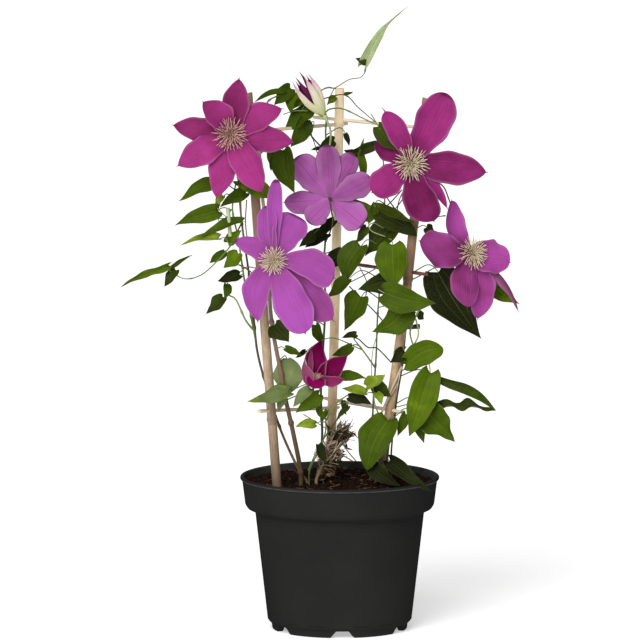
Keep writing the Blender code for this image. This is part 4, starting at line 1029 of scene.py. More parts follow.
def tepal_shapes(bloom, form, seed):
    """A blade for each tepal, from the receptacle to its tip, in the upper or the lower layer."""
    centre, axis = place(bloom["centre"]), look_direction(bloom["looks"])
    draw = np.random.default_rng(seed)
    shapes = []
    for u, v, forward, width, blunt, roll, tone, cup, *own in bloom["tepals"]:
        tip = tip_point(u, v, forward, centre, axis)
        layer = centre + axis * (UPPER_LAYER if forward > 0 else LOWER_LAYER)
        base = layer + square_to(tip - centre, axis) * 0.8
        normal = turned(square_to(axis, unit(tip - base)), unit(tip - base), roll)
        ends = {"rise": 0.95 + 0.2 * blunt, "fall": 0.88 - 0.46 * blunt}
        style = {**form, **ends, "cup": cup, **dict(*own)}
        phase = draw.uniform(0, 1)
        shapes.append(blade(base, tip, normal, width, style, *TEPAL_GRID, phase, tone=tone))
    return shapes


def petal_look(name, deep, light, vein, back_deep, back_light, rim):
    """A satin petal: its tone set per petal, which paints in its light and shade, painted shade
    towards the foot, fine veins that run its length, a pale rim on the face that is partly a
    painted highlight, a dark point at the tip, and a paler back with a pale rim."""
    look = Look(name, 0.55, 0.05)
    vector, across, along = look.uv()
    cloud = look.grain(look.object(), 60.0, 3.0)
    # Painted light and shade: each tepal's tone picks its colour between deep and light.
    tone = look.uneven("tone", cloud, 1.6)
    colour = look.ramp(tone, [(0.0, deep), (1.0, light)])
    # Painted shade: the colour darkens towards deep at the foot of each tepal.
    colour = look.mix(look.ramp(along, [(0.1, 0.8), (0.42, 0.0)]), colour, deep)
    lines = look.grain(vector, 30.0, 2.0, (1.0, 0.05, 1), 0.25)
    lines = look.ramp(lines, [(0.42, 0.0), (0.66, 1.0)])
    colour = look.mix(look.math("MULTIPLY", lines, 0.22), colour, vein)
    # A pale rim along the edge of the face, partly the tepal's own paler margin and partly a
    # painted highlight.
    colour = look.mix(look.ramp(across, [(0.82, 0.0), (0.99, 0.3)]), colour, rim)
    behind = look.ramp(tone, [(0.0, back_deep), (1.0, back_light)])
    behind = look.mix(look.ramp(across, [(0.35, 0.0), (0.98, 0.5)]), behind, rim)
    behind = look.mix(look.ramp(across, [(0.0, 0.4), (0.05, 0.0)]), behind, vein)
    behind = look.mix(look.math("MULTIPLY", lines, 0.16), behind, vein)
    colour = look.mix(look.mark("back"), colour, behind)
    colour = look.mix(look.mark("pale"), colour, rim)
    colour = look.mix(look.ramp(along, [(0.94, 0.0), (0.97, 0.7)]), colour, (70, 24, 44))
    look.bump(lines, 0.3, 0.0003)
    return look.finish(colour, look.ramp(cloud, [(0.2, 0.46), (0.8, 0.62)]), 0.2)


# The slot, then deep and light on the face, the veins, deep and light on the back, and the rim.
# Deep and light are the painted shade and painted light between which each tepal's tone picks.
PETALS = {
    "bloom_upper_left": (
        "petal_magenta", (128, 38, 90), (170, 57, 132), (116, 26, 84),
        (150, 78, 126), (172, 104, 152), (190, 136, 172),
    ),
    "bloom_upper_right": (
        "petal_plum", (110, 28, 78), (158, 49, 122), (94, 18, 64),
        (146, 72, 124), (168, 100, 150), (190, 140, 176),
    ),
    "bloom_middle": (
        "petal_mauve", (120, 58, 114), (150, 76, 146), (104, 52, 100),
        (140, 74, 130), (184, 100, 178), (206, 146, 202),
    ),
    "bloom_left": (
        "petal_violet", (150, 70, 136), (170, 82, 172), (126, 50, 128),
        (140, 82, 124), (172, 112, 166), (200, 154, 194),
    ),
    "bloom_right": (
        "petal_purple", (132, 50, 104), (176, 76, 162), (112, 40, 92),
        (134, 62, 104), (156, 96, 138), (176, 128, 162),
    ),
}
for number, (name, (slot, *colours)) in enumerate(PETALS.items()):
    shapes = tepal_shapes(BLOOMS[name], TEPAL, TEPAL_SEED + number)
    make_piece(name + "_petals", shapes, petal_look(slot, *colours), [name + "_tepals"])

# %% [markdown]
# ## Stamens
#
# In the middle of each bloom stands a boss of flat filaments. The inner ones stand up and the outer
# ones lie back like a star. Placing them by hand is hopeless, and a ring of copies looks like a
# cog. Sunflowers and clematis alike set each new part a golden angle on from the last, which
# spreads them evenly, and the rank from the middle outwards sets the length and the slope.

# %% Stamens
GOLDEN_ANGLE = 137.508
FILAMENTS = 150
STYLES = 50
STEEPEST = 86
SLOPE_FALL = 72
SHORTEST = 6.4
LENGTH_GAIN = 7.6
FILAMENT_RADIUS = 0.14
STAMEN_SEED = 60


def stamen_shapes(bloom, seed, spread=1.0):
    """Filaments by rank q from 0 to 1: the slope is steepest - fall spread q^0.9 degrees, and the
    length is shortest + gain q. The styles have the lowest ranks. An anther swells each end."""
    draw = np.random.default_rng(seed)
    centre, axis = place(bloom["centre"]), look_direction(bloom["looks"])
    seat = centre + axis * (RECEPTACLE_FRONT + STAMEN_GAP)
    first = square_to(np.array([0.2, 0.1, 1.0]), axis)
    size = bloom["stamens"]
    s = np.linspace(0, 1, 10)[:, None]
    knob = seat + axis * np.array([[-1.0], [0.6], [2.0], [3.2]])
    shapes = [tube(knob, np.array([2.4, 3.0, 2.4, 0.8]), 12, tip=0.1)]
    for k in range(FILAMENTS + STYLES):
        style = k < STYLES
        q = k / STYLES * 0.35 if style else 0.3 + 0.7 * (k - STYLES) / FILAMENTS
        out = turned(first, axis, GOLDEN_ANGLE * k + draw.uniform(-8, 8))
        slope = np.radians(STEEPEST - SLOPE_FALL * spread * q**0.9 + draw.uniform(-6, 6))
        length = size * (SHORTEST + LENGTH_GAIN * q) * draw.uniform(0.9, 1.1)
        root = seat + axis * (2.6 - 2.4 * q) + out * (0.4 + 2.2 * q)
        end = out * np.cos(slope) + axis * np.sin(slope)
        bend = square_to(axis, end) * draw.uniform(0.02, 0.12)
        bend = bend + np.cross(axis, out) * draw.uniform(-0.06, 0.06)
        path = root + length * (s * end + bend * np.sin(np.pi * s))
        anther = step(s[:, 0], 0.6, 0.2) * (1 - step(s[:, 0], 0.97, 0.12))
        radius = FILAMENT_RADIUS + (0.08 if style else 0.11) * anther
        radius = radius - 0.07 * step(s[:, 0], 0.97, 0.1)
        shapes.append(tube(path, radius, 5, tip=np.broadcast_to(s, (10, 5))))
    return shapes


def stamen_look(name, root, middle, tip):
    """Matt filaments that change colour from root to tip."""
    look = Look(name, 0.6, 0.3)
    colour = look.ramp(look.mark("tip"), [(0.0, root), (0.5, middle), (1.0, tip)])
    speck = look.grain(look.object(), 1500.0, 2.0)
    colour = look.mix(look.ramp(speck, [(0.45, 0.0), (0.7, 0.35)]), colour, root)
    return look.finish(colour, None, 0.15)


rose_boss = stamen_look("stamens_rose", (110, 56, 58), (190, 138, 130), (222, 186, 166))
cream_boss = stamen_look("stamens_cream", (132, 98, 70), (216, 196, 158), (238, 226, 198))
for number, (name, bloom) in enumerate(BLOOMS.items()):
    boss = rose_boss if name == "bloom_upper_left" else cream_boss
    shapes = stamen_shapes(bloom, STAMEN_SEED + number)
    make_piece(name + "_boss", shapes, boss, [name + "_stamens"])

# %% [markdown]
# ## The half-open bloom and the bud
#
# Low on the plant one bloom is only half open. Its tepals stand up like a cup: deep wine inside,
# pink and cream outside. At the top a bud is about to part. Its sepals wrap round a spindle and
# leave slits between them, through which the dark inside shows.

# %% Half-open bloom and bud
HALF_OPEN_FORM = {
    **TEPAL, "rise": 0.95, "fall": 0.85, "arch": 0.1, "fold": 0.15, "ruffle": 0.06, "groove": 0.35,
}
HALF_OPEN_SPREAD = 0.55
BUD_BASE = (-13, 435, 6)
BUD_TIP = (-33, 470, 2)
BUD_FORM = {
    **TEPAL, "rise": 0.62, "fall": 0.62, "point": 0.12, "arch": 0.1, "fold": -0.1, "cup": -0.9,
    "ruffle": 0.0,
}
BUD_GRID = (40, 21)
BUD_FACES = np.array([0.0, -1.0, 0.1])
# Tip on the plan, the width, which way it faces, how dark it is and own changes of form.
BUD_SEPALS = (
    (-35, 474, 4, 7.5, 0, 1.0, {"arch": 0.0, "sweep": 0.03, "fall": 0.8}),
    (-38, 469, 3, 7.5, 0, 1.0, {"arch": 0.03, "fall": 0.8}),
    (-28, 473, 5, 8.5, 30, 0.0, {"sweep": 0.05, "fall": 0.7}),
    (-41, 466, 0, 8, -25, 0.0, {"arch": 0.09, "sweep": -0.06, "rise": 0.5, "fall": 0.75}),
    (-31, 470, 1, 9, 10, 0.0, {"arch": 0.1, "sweep": 0.02, "rise": 0.5}),
    (-38, 466, 7, 9, 215, 0.0, {}),
    (-29, 471, 8, 9, 150, 0.0, {}),
)

WINE = ((96, 2, 52), (138, 6, 86), (80, 4, 46), (134, 40, 104), (172, 70, 144), (206, 176, 184))
wine = petal_look("petal_maroon", *WINE)
half_open = []
for foot, tip, width, roll, tone, cup, pale, own in HALF_OPEN_TEPALS:
    foot, tip = place(foot), place(tip)
    axis = unit(tip - foot)
    normal = turned(square_to(look_direction((0, 0)), axis), axis, roll)
    style = {**HALF_OPEN_FORM, "cup": cup, **own}
    half_open.append(blade(foot, tip, normal, width, style, *TEPAL_GRID, 0.3, tone=tone, pale=pale))
make_piece("half_open_petals", half_open, wine, ["half_open_bloom"])
shapes = stamen_shapes(HALF_OPEN, STAMEN_SEED + 10, HALF_OPEN_SPREAD)
make_piece("half_open_boss", shapes, rose_boss)


def bud_shapes():
    """A dark core with dark and pale sepals laid on it, the pale ones bowed out to the light."""
    base, tip = place(BUD_BASE), place(BUD_TIP)
    axis = unit(tip - base)
    core = base + axis * np.linspace(5, 31, 20)[:, None]
    core_radius = 3.4 * np.sin(np.pi * np.linspace(0.12, 0.97, 20)) ** 0.7
    shapes = [tube(core, core_radius, 16, dark=1.0)]
    for u, v, d, width, facing, dark, own in BUD_SEPALS:
        end = place((u, v, d))
        axis = unit(end - base)
        normal = turned(square_to(BUD_FACES, axis), axis, facing)
        style = {**BUD_FORM, **own}
        shapes.append(blade(base, end, normal, width, style, *BUD_GRID, 0.2, dark=dark))
    return shapes


def bud_look():
    """Cream-green sepals with fine ribs, flushed with pink towards the tips, and wine inside."""
    look = Look("bud_sepal", 0.5, 0.15)
    vector, across, along = look.uv()
    ribs = look.grain(vector, 30.0, 2.0, (1.0, 0.04, 1))
    sepal = [(0.0, (168, 184, 112)), (0.3, (212, 212, 170)), (0.6, (228, 214, 200))]
    colour = look.ramp(along, sepal + [(0.86, (208, 150, 184))])
    colour = look.mix(look.ramp(ribs, [(0.42, 0.0), (0.62, 0.6)]), colour, (172, 168, 120))
    rim = look.ramp(across, [(0.7, 0.0), (0.98, 0.7)])
    upper = look.ramp(along, [(0.45, 0.0), (0.8, 1.0)])
    colour = look.mix(look.math("MULTIPLY", rim, upper), colour, (178, 116, 156))
    wine = look.ramp(ribs, [(0.35, (70, 8, 44)), (0.6, (104, 24, 78))])
    colour = look.mix(look.math("MAXIMUM", look.mark("dark"), look.mark("back")), colour, wine)
    look.bump(ribs, 0.4, 0.0003)
    return look.finish(colour, None, 0.08)


make_piece("bud_sepals", bud_shapes(), bud_look(), ["bud"])

# %% [markdown]
# ## Vines
#
# Seven vines climb the rack, and old wood lies at its foot. Old growth is brown and the young tips
# are green, so each stem carries a mark that runs from its foot to its end. A leaf hangs on a long
# stalk that can wind round anything. It starts at the nearest point of the stems, bows up and runs
# on into the midrib. Each leaf's tone is given one by one, from painted deep shade on the shaded
# ones to lime on new growth, and the pale grey-green tones are partly a painted sheen.

# %% Vines: the plan
ROOT_DEPTH = 10.0
# Each vine's stems, the rooted one first: the radius, how woody the foot and the end are, and
# the plan points.
STEMS = {
    "vine_outer_left": (
        (1.15, 0.8, 0.1, ((-28, 122, -9), (-35, 135, -10), (-50, 168, -14), (-63, 208, -15),
            (-70, 235, -20), (-73, 262, -26), (-77, 300, -26), (-82, 335, -25), (-85, 365, -24),
            (-86, 400, -22))),
        (0.9, 0.1, 0.0, ((-74, 252, -26), (-80, 262, -29), (-88, 279, -31), (-94, 283, -31))),
        (0.65, 0.12, 0.1, ((-84, 345, -25), (-90, 331, -29), (-95, 322, -31), (-105, 311, -34),
            (-118, 300, -38), (-132, 297, -41), (-145, 304, -44))),
        (1.0, 0.2, 0.0, ((-72, 245, -24), (-80, 290, -34), (-86, 330, -33), (-91, 356, -31),
            (-88, 380, -26))),
    ),
    "vine_inner_left": (
        (1.9, 0.45, 1.5, ((-33, 122, -16), (-34, 138, -18), (-40, 168, -24), (-46, 195, -31),
            (-51, 222, -33), (-56, 248, -33), (-59, 272, -32), (-60, 300, -31), (-62, 335, -29),
            (-66, 370, -26), (-68, 405, -22), (-66, 430, -20), (-58, 443, -16))),
        (0.8, 0.1, 0.0, ((-66, 430, -20), (-62, 446, -12), (-54, 452, 0), (-42, 456, 10))),
    ),
    "vine_back": (
        (1.1, 0.3, 0.1, ((-20, 122, -4), (-17, 140, 2), (-15, 165, 12), (-16, 200, 18),
            (-14, 240, 26), (-12, 280, 26), (-14, 305, 21), (-12, 335, 27), (-11, 380, 29),
            (-12, 420, 26), (-11, 436, 28))),
        (0.55, 0.12, 0.12, ((-11, 434, 28), (-15, 450, 29), (-16, 457, 29), (-10, 460, 30),
            (-4, 460, 31), (8, 467, 32), (18, 469, 33), (22, 475, 32), (22, 480, 31))),
        (0.65, 0.1, 0.0, ((-13, 438, 29), (-8, 442, 30), (3, 442, 31), (20, 434, 28),
            (33, 428, 23))),
        (0.55, 0.5, 0.4, ((-9, 452, 30), (4, 454, 32), (16, 443, 30), (30, 431, 24))),
        (0.7, 0.3, 0.1, ((-12, 405, 29), (-18, 412, 24), (-25, 420, 13), (-33, 436, 15),
            (-27, 450, 17))),
    ),
    "vine_middle": (
        (0.8, 0.3, 0.1, ((26, 121, 6), (27, 150, 6), (28, 177, 2), (29, 202, 0), (31, 232, -2),
            (32, 262, -4), (34, 290, -2), (36, 320, 0), (38, 350, 4), (38, 380, 8), (36, 410, 14),
            (34, 430, 18))),
        (0.8, 0.1, 0.0, ((30, 222, -2), (20, 236, -4), (12, 246, -4))),
    ),
    "vine_right": (
        (0.8, 0.6, 0.5, ((44, 122, 2), (44, 150, 4), (48, 190, 3), (53, 222, 4), (56, 250, 6),
            (59, 280, 6), (63, 320, 5), (68, 352, 6), (74, 380, 8))),
        (0.6, 0.4, 0.4, ((69, 350, 6), (80, 350, 4), (90, 351, 6))),
    ),
    "vine_low_right": (
        (1.2, 0.4, 0.0, ((38, 122, -14), (40, 140, -14), (42, 160, -12), (44, 178, -13))),
        (0.9, 0.2, 0.0, ((38, 128, -14), (32, 138, -19), (27, 146, -22))),
        (0.8, 0.1, 0.0, ((42, 160, -12), (36, 176, -14), (30, 190, -14), (28, 205, -15),
            (24, 212, -16))),
    ),
    "vine_low": (
        (0.75, 0.3, 0.14, ((-26, 122, -17), (-25, 136, -18), (-14, 160, -18), (-12, 178, -22),
            (-19, 192, -24))),
        (0.8, 0.0, 0.0, ((-15, 176, -21), (-4, 190, -20), (6, 198, -18))),
    ),
    "old_wood": (
        (1.5, 0.86, 0.9, ((-20, 122, -10), (-19, 129, -7), (-12, 144, 5), (-6, 158, 15),
            (-4, 168, 22))),
    ),
}
# The flower stalks: the vine, the flower, the radius, how woody the stalk is, and plan points.
PEDICELS = (
    ("vine_outer_left", "bloom_upper_left", 0.6, 0.34, ((-86, 385, -23), (-89, 402, -34))),
    ("vine_inner_left", "bloom_left", 0.6, 0.34, ((-60, 292, -31), (-62, 300, -44))),
    ("vine_back", "bloom_middle", 0.6, 0.34, ((-10, 328, 30), (-8, 338, 22), (-6, 347, 7),
        (-7, 354, -8))),
    ("vine_back", "bud", 0.9, -0.25, ((-11, 400, 30), (-8, 414, 20), (-8, 424, 12))),
    ("vine_right", "bloom_upper_right", 0.6, 0.34, ((75, 375, 8), (70, 385, 0))),
    ("vine_right", "bloom_right", 0.6, 0.34, ((76, 380, 8), (87, 377, 9), (94, 362, 8),
        (103, 338, 2))),
    ("vine_low", "half_open_bloom", 0.9, 0.12, ((-20, 190, -24), (-22, 197, -24))),
)
# Each vine's leaves: u, v, d of the foot and of the tip, the width that the front view shows, the
# roll, the tone from 0, painted deep shade, to 1, the palest, partly a painted sheen, and the
# leaf's own changes of form.
LEAVES = {
    "vine_outer_left": (
        (-108, 376, -34, -138, 362, -44, 16, 25, 0.5, {"curl": -0.35, "fall": 1.9,
            "sweep": 0.12, "rise": 0.4}),
        (-104, 355, -33, -141, 341, -42, 14, -30, 0.48, {"curl": -0.2, "fall": 1.5}),
        (-83, 345, -35, -121, 330, -40, 9, 30, 0.42, {"sweep": 0.06, "fold": 0.5}),
        (-103, 331, -39, -136, 325, -44, 8, 25, 0.72, {"sweep": 0.1, "fold": 0.4, "rise": 0.35}),
        (-80, 370, -30, -102, 357, -38, 11, -20, 0.42),
        (-99, 367, -32, -106, 359, -36, 7, 20, 0.76), (-95, 328, -28, -83, 338, -38, 9, 30, 0.62),
        (-86, 318, -34, -99, 306, -40, 14, 20, 0.6), (-85, 300, -35, -104, 295, -42, 12, 25, 0.0),
        (-96, 292, -35, -98, 279, -42, 8, -20, 0.42), (-99, 281, -30, -114, 267, -36, 12, 25, 0.2),
        (-146, 308, -46, -186.6, 289, -56, 6, -30, 0.5, {"ruffle": 0.6, "waves": 2.4,
            "fall": 1.1, "rise": 0.35, "fold": 0.6}),
        (-139, 304, -43, -149, 290, -50, 10, 20, 0.2),
        (-142, 307, -44, -124, 317, -50, 3.5, 30, 0.24, {"fold": 0.5, "sweep": -0.06}),
        (-98, 320, -27, -111, 310, -24, 8, -30, 0.42),
    ),
    "vine_inner_left": (
        (-55, 258, -37, -43, 243, -42, 18, 20, 0.2), (-46, 238, -36, -30, 232, -40, 7, -25, 0.42),
        (-45, 229, -26, -42, 200, -28, 25, 8, 1.0, {"rise": 0.75, "fall": 0.85, "lobe": 0.04,
            "fold": 0.1, "curl": 0, "twist": 0, "sweep": 0}),
        (-43, 201, -40, -79, 193, -47, 15, 30, 0.87, {"fold": 0.15}),
        (-49, 199, -41, -52, 184, -44, 9, -20, 0.95),
        (-25, 203, -36, -40, 188, -41, 11, 20, 0.95, {"fold": 0.4}),
        (-18, 199, -34, -38, 183, -38, 13, -25, 0.48, {"fold": 0.4}),
        (-86, 380, -35, -53, 361, -41, 19, -25, 0.7, {"fold": 0.4, "ruffle": 0.3, "twist": 0}),
        (-48, 406, -14, -38, 369, -16, 20, 15, 0.36, {"sweep": 0.08}),
        (-48, 456, 4, -74, 446, -16, 6, 20, 0.42, {"fold": 0.5, "sweep": 0.05}),
        (-42, 459, 9, -56, 444, -2, 13, -30, 0.3, {"ruffle": 0.3}),
        (-38, 455, 10, -42, 438, 2, 11, 25, 0.5, {"ruffle": 0.3, "fold": 0.5}),
        (-60, 404, -15, -58, 388, -17, 7, -25, 0.42),
    ),
    "vine_back": (
        (22, 481, 30, 61, 530.8, 20, 9, 20, 1.25, {"ruffle": 0.45, "waves": 1.8, "fold": 0.4,
            "curl": -0.1, "sweep": -0.1, "rise": 0.4, "fall": 2.0}),
        (22, 481, 30, 13, 485, 26, 6, -20, 0.2), (-4, 452, 33, -11, 445, 30, 7, 20, 0.62),
        (4, 455, 33, 12, 457, 32, 3, 0, 0.2),
        (-25, 441, 16, -48, 424, 8, 18, 25, 0.36, {"ruffle": 0.3}),
        (-30, 432, 12, -42, 409, 5, 16, -20, 0.32, {"ruffle": 0.3, "sweep": -0.1}),
        (-28, 451, 17, -40, 441, 12, 10, 20, 0.62), (-5, 415, 27, -17, 410, 20, 10, -30, 0.2),
        (-5, 347, 24, -24, 333, 14, 10, 20, 0.1), (-22, 336, 16, -35, 324, 8, 9, -20, 0.14),
        (31, 412, 27, 4, 404, 24, 9, -20, 0.12, {"fold": 0.4}),
        (16, 401, 29, 3, 407, 26, 8, -20, 0.0), (20, 388, 27, 21, 418, 22, 7, 25, 0.62),
        (-12, 336, 26, -30, 324, 12, 15, 25, 0.0), (0, 320, 27, -18, 309, 14, 14, -25, 0.0),
        (-20, 258, 20, -13, 240, 14, 9, 20, 0.42), (-15, 408, 25, -25, 407, 22, 4, 0, 0.0),
        (5, 421, 31, 8, 410, 27, 5, 20, 0.0),
    ),
    "vine_middle": (
        (27, 350, 4, 10, 367, 1, 15, 20, 0.66, {"fold": 0.15}),
        (30, 361, 1, 24, 343, -1, 9, -20, 0.38, {"fold": 0.4}),
        (31, 358, -9, 66, 345, -14, 9, -30, 0.36, {"fold": 0.4}),
        (33, 353, -5, 66, 333, -9, 17, 20, 0.08, {"rise": 0.4, "fall": 0.8}),
        (46, 346, 4, 21, 316, 2, 24, 25, 0.16), (23, 341, 2, 13, 328, 0, 9, 20, 0.24),
        (7, 297, -14, -12, 281, -18, 12, 20, 0.36),
        (18, 325, -4, 4, 292, -10, 22, 20, 0.36, {"sweep": 0.1, "twist": 0}),
        (45, 326, -12, 45, 290, -20, 28, 15, 0.5, {"rise": 0.45, "fall": 0.85, "twist": 0,
            "sweep": 0}),
        (43, 296, -8, 15, 288, -12, 17, -25, 0.12), (38, 285, -20, 82, 276, -28, 24, 15, 0.42),
        (58, 272, -12, 27, 252, -16, 24, -20, 0.42),
        (18, 282, -8, 3.5, 253, -12, 21, 20, 0.42, {"rise": 0.4, "twist": 0, "sweep": 0}),
        (14, 250, -5, 1, 247, -8, 7, 25, 0.2), (33, 426, -26, 54, 404, -31, 14, 20, 0.22),
        (10, 240, -6, -7, 232, -4, 9, -15, 0.36, {"arch": 0.25}),
        (-29, 236, -8, -38, 230, -10, 5, 20, 0.2),
    ),
    "vine_right": (
        (84, 303, 8, 121, 246, 12, 36, 15, 0.0), (119, 298, 12, 154, 276, 14, 20, -20, 0.62),
        (74, 341, 2, 83, 334, -4, 9, 20, 0.2),
        (56, 225, -8, 88, 238, -16, 20, 25, 0.52, {"fall": 0.55, "sweep": -0.1, "twist": 20}),
        (54, 236, -9, 43, 226, -14, 12, -20, 0.0),
        (77, 217, -16, 59, 163, -22, 25, -15, 0.56, {"twist": 10, "sweep": 0.02, "curl": 0,
            "fall": 1.0}),
        (83, 212, -14, 133, 185, -26, 8, 30, 0.24, {"sweep": -0.08, "fall": 0.9, "ruffle": 0.3,
            "twist": 40}),
        (78, 187, -12, 133, 185, -22, 8, -30, 0.16, {"ruffle": 1.0, "waves": 2.6, "fall": 0.9,
            "sweep": -0.03}),
        (68, 190, -10, 98, 158, -18, 27, 20, 0.44, {"ruffle": 0.3, "waves": 2.2}),
        (62, 181, -8, 72, 157, -14, 12, -20, 0.42), (66, 268, 8, 72, 263, 12, 8, -20, 0.2),
    ),
    "vine_low_right": (
        (41, 177, -18, 23, 134.5, -28, 29, 10, 0.42, {"rise": 0.42, "fall": 0.75, "sweep": 0.06,
            "twist": 0, "curl": 0}),
        (26, 141, -20, 52, 121, -42, 13, 25, 0.06, {"twist": 0}),
        (43, 142, -18, 79, 116, -56, 14, 0, -0.02, {"arch": 0.2, "twist": 0}),
        (56, 182, -14, 49, 163, -18, 9, -20, 0.42), (22, 200, -18, 1, 204, -22, 9, 25, 0.78),
        (23, 206, -18, 39, 216, -22, 12, -25, 0.74),
        (30, 208, -10, 44, 197, -14, 13, 20, 0.25, {"twist": 0}),
        (31, 200, -16, 36, 190, -20, 8, -20, 0.78),
        (1, 215, -20, 22, 213, -17, 9, 25, 0.5, {"twist": 0, "fold": 0.2}),
    ),
    "vine_low": (
        (8, 197, -17, 28, 190, -20, 9, 25, 0.0), (-27, 196, -27, -16, 185, -30, 9, 20, 0.5),
        (-11, 185, -22, -16, 175, -26, 5, 20, 0.45), (7, 189, -19, -3, 177, -24, 5, -20, 0.2),
        (-21, 174, -28, -38, 171, -32, 8, -25, 0.7, {"sweep": 0.1}),
        (-18, 156, -20, -12, 140, -24, 9, -20, 0.0), (3, 193, -18, 6, 181, -22, 5, -20, 0.2),
        (-18, 187, -26, -11, 177, -30, 6, 20, 0.42),
    ),
    "old_wood": (
        (-2, 166, 18, 10, 174, 14, 6, 30, 0.3), (-3, 160, 12, 13, 164, 8, 8, -35, 0.1),
        (-7, 152, 6, 2, 145, 1, 6, 30, 0.4), (-6, 158, 9, -1, 168, 1, 6, 40, 0.1),
        (-7, 166, 18, -12, 174, 12, 5, -30, 0.5),
    ),
}
print(sum(map(len, LEAVES.values())), "leaves on", len(LEAVES) - 1, "vines and the old wood")

# %% Vines: shapes
LEAF = {
    "rise": 0.52,
    "fall": 1.25,
    "start": 0.03,
    "fold": 0.3,
    "arch": 0.08,
    "ruffle": 0.16,
    "waves": 1.3,
    "groove": 0.35,
    "veins": (0.0, 0.4, 0.78),
    "vein_width": 0.06,
    "lobe": 0.1,
    "thickness": 0.4,
}
LEAF_GRID = (30, 25)
LEAF_FACES = np.array([0, -1, 0.35])
RIB_DEPTH = 0.55
STALK_RADIUS = 0.52
STALK_SIDES = 8
STEM_SIDES = 12
STEM_STEP = 1.5
THREAD_STEP = 1.2
NODE_SPACING = 45
VINE_SEED = 100
KNOB_RADIUS = 2.0
KNOB_LENGTH = 3.0


def stem_shape(path, radius, foot, end):
    """A stem that thins to two thirds, with six faint ribs and a swelling at even distances."""
    share = np.linspace(0, 1, len(path))
    length = lengths(path)[-1] * share
    node = np.exp(-(((length % NODE_SPACING - NODE_SPACING // 2) / 1.6) ** 2))
    angle = np.arange(STEM_SIDES) / STEM_SIDES * 2 * np.pi
    ribs = 1 + 0.07 * np.cos(6 * angle)
    size = radius * (1 - 0.35 * share + 0.45 * node)
    wood = np.broadcast_to((foot + (end - foot) * share)[:, None], (len(path), STEM_SIDES))
    return tube(path, size[:, None] * ribs, STEM_SIDES, wood=wood)


def root_path(points):
    """A rooted stem's points, which first come straight up out of the soil."""
    path = place(points)
    foot = path[0, :2]
    under, out = [*foot, SOIL_Z - ROOT_DEPTH], [*foot, SOIL_Z + 2.5]
    return curve(np.vstack([under, out, path[1:]]), STEM_STEP)


def branch_path(points, stems):
    """A branch's points, the first of which moves to the nearest point of the stems before it."""
    nearest = stems[np.argmin(np.linalg.norm(stems - points[0], axis=1))]
    return curve(np.vstack([nearest, points[1:]]), STEM_STEP)


def pedicel_shape(path, radius, wood):
    """A flower stalk that swells into the knob behind the tepals: radius + knob exp(-(l/length)2),
    where l is the distance left to the flower."""
    left = np.linspace(1, 0, len(path)) * lengths(path)[-1]
    swell = KNOB_RADIUS * np.exp(-((left / KNOB_LENGTH) ** 2))
    return tube(path, radius + swell, STEM_SIDES, wood=wood)


def leaf_shapes(leaf, form, stems, draw):
    """A leaf's blade, and its stalk from the nearest low stretch of the stems into the midrib."""
    base, tip = place(leaf[:3]), place(leaf[3:6])
    width, roll, tone, *own = leaf[6:]
    axis = unit(tip - base)
    normal = turned(square_to(LEAF_FACES, axis), axis, roll)
    chance = {
        "twist": draw.uniform(-40, 40),
        "sweep": draw.uniform(-0.08, 0.08),
        "curl": draw.uniform(-0.28, 0.02),
    }
    style = {**form, **chance, **dict(*own)}
    wide = width / np.cos(np.radians(roll))
    card = blade(base, tip, normal, wide, style, *LEAF_GRID, draw.uniform(0, 1), tone=tone)
    reach = np.linalg.norm(stems - base, axis=1) + np.maximum(stems[:, 2] - base[2], 0)
    start = stems[np.argmin(reach)]
    length = np.linalg.norm(base - start)
    middle = (start + base) / 4 + (base - axis * 0.45 * length) / 2 + [0, 0, 0.1 * length]
    run = np.linalg.norm(tip - base)
    up = square_to(normal, axis)
    f = np.array([[0.0], [0.12], [0.25]])
    hump = np.sin(np.pi * f)
    bow = run * (style["arch"] * hump + style["curl"] * 4 * f**2 * (1 - f)) - RIB_DEPTH
    rib = base + axis * run * f + up * bow + np.cross(axis, up) * run * style["sweep"] * hump
    path = curve(np.vstack([start, middle, rib]), THREAD_STEP)
    radius = STALK_RADIUS * np.linspace(1.1, 0.35, len(path)) ** 0.5
    return card, tube(path, radius, STALK_SIDES, wood=draw.uniform(-0.05, 0.25))


def flower_back(name):
    """The points by which a stalk reaches the back of a bloom or the foot of the bud."""
    if name == "bud":
        base = place(BUD_BASE)
        axis = unit(place(BUD_TIP) - base)
        return [base - axis * 6, base + axis * 1.0]
    bloom = HALF_OPEN if name == "half_open_bloom" else BLOOMS[name]
    centre, axis = place(bloom["centre"]), look_direction(bloom["looks"])
    return [centre - axis * 10, centre - axis * RECEPTACLE_BACK, centre + axis * 0.4]


def vine_shapes(name, form, seed):
    """Everything on one vine: stems and stalks in one list, and leaf blades in another."""
    draw = np.random.default_rng(seed)
    lines, blades, stems = [], [], None
    for radius, foot, end, points in STEMS[name]:
        path = root_path(points) if stems is None else branch_path(place(points), stems)
        lines.append(stem_shape(path, radius, foot, end))
        stems = path if stems is None else np.vstack([stems, path])
    for vine, flower, radius, wood, points in PEDICELS:
        if vine == name:
            path = branch_path(np.vstack([place(points), flower_back(flower)]), stems)
            lines.append(pedicel_shape(path, radius, wood))
    for leaf in LEAVES[name]:
        card, stalk = leaf_shapes(leaf, form, stems, draw)
        blades.append(card)
        lines.append(stalk)
    return lines, blades


# %% [markdown]
# ## Leaf and stem finishes
#
# A clematis leaf is leathery: deep green with a low shine above, pale and matt below, with light
# veins that curve from foot to tip and a fine net between them. The long veins are spikes on a ramp
# over how far a point is from the midrib, so they follow the blade whatever its shape. The net is
# the edge of a cell pattern on the UV.

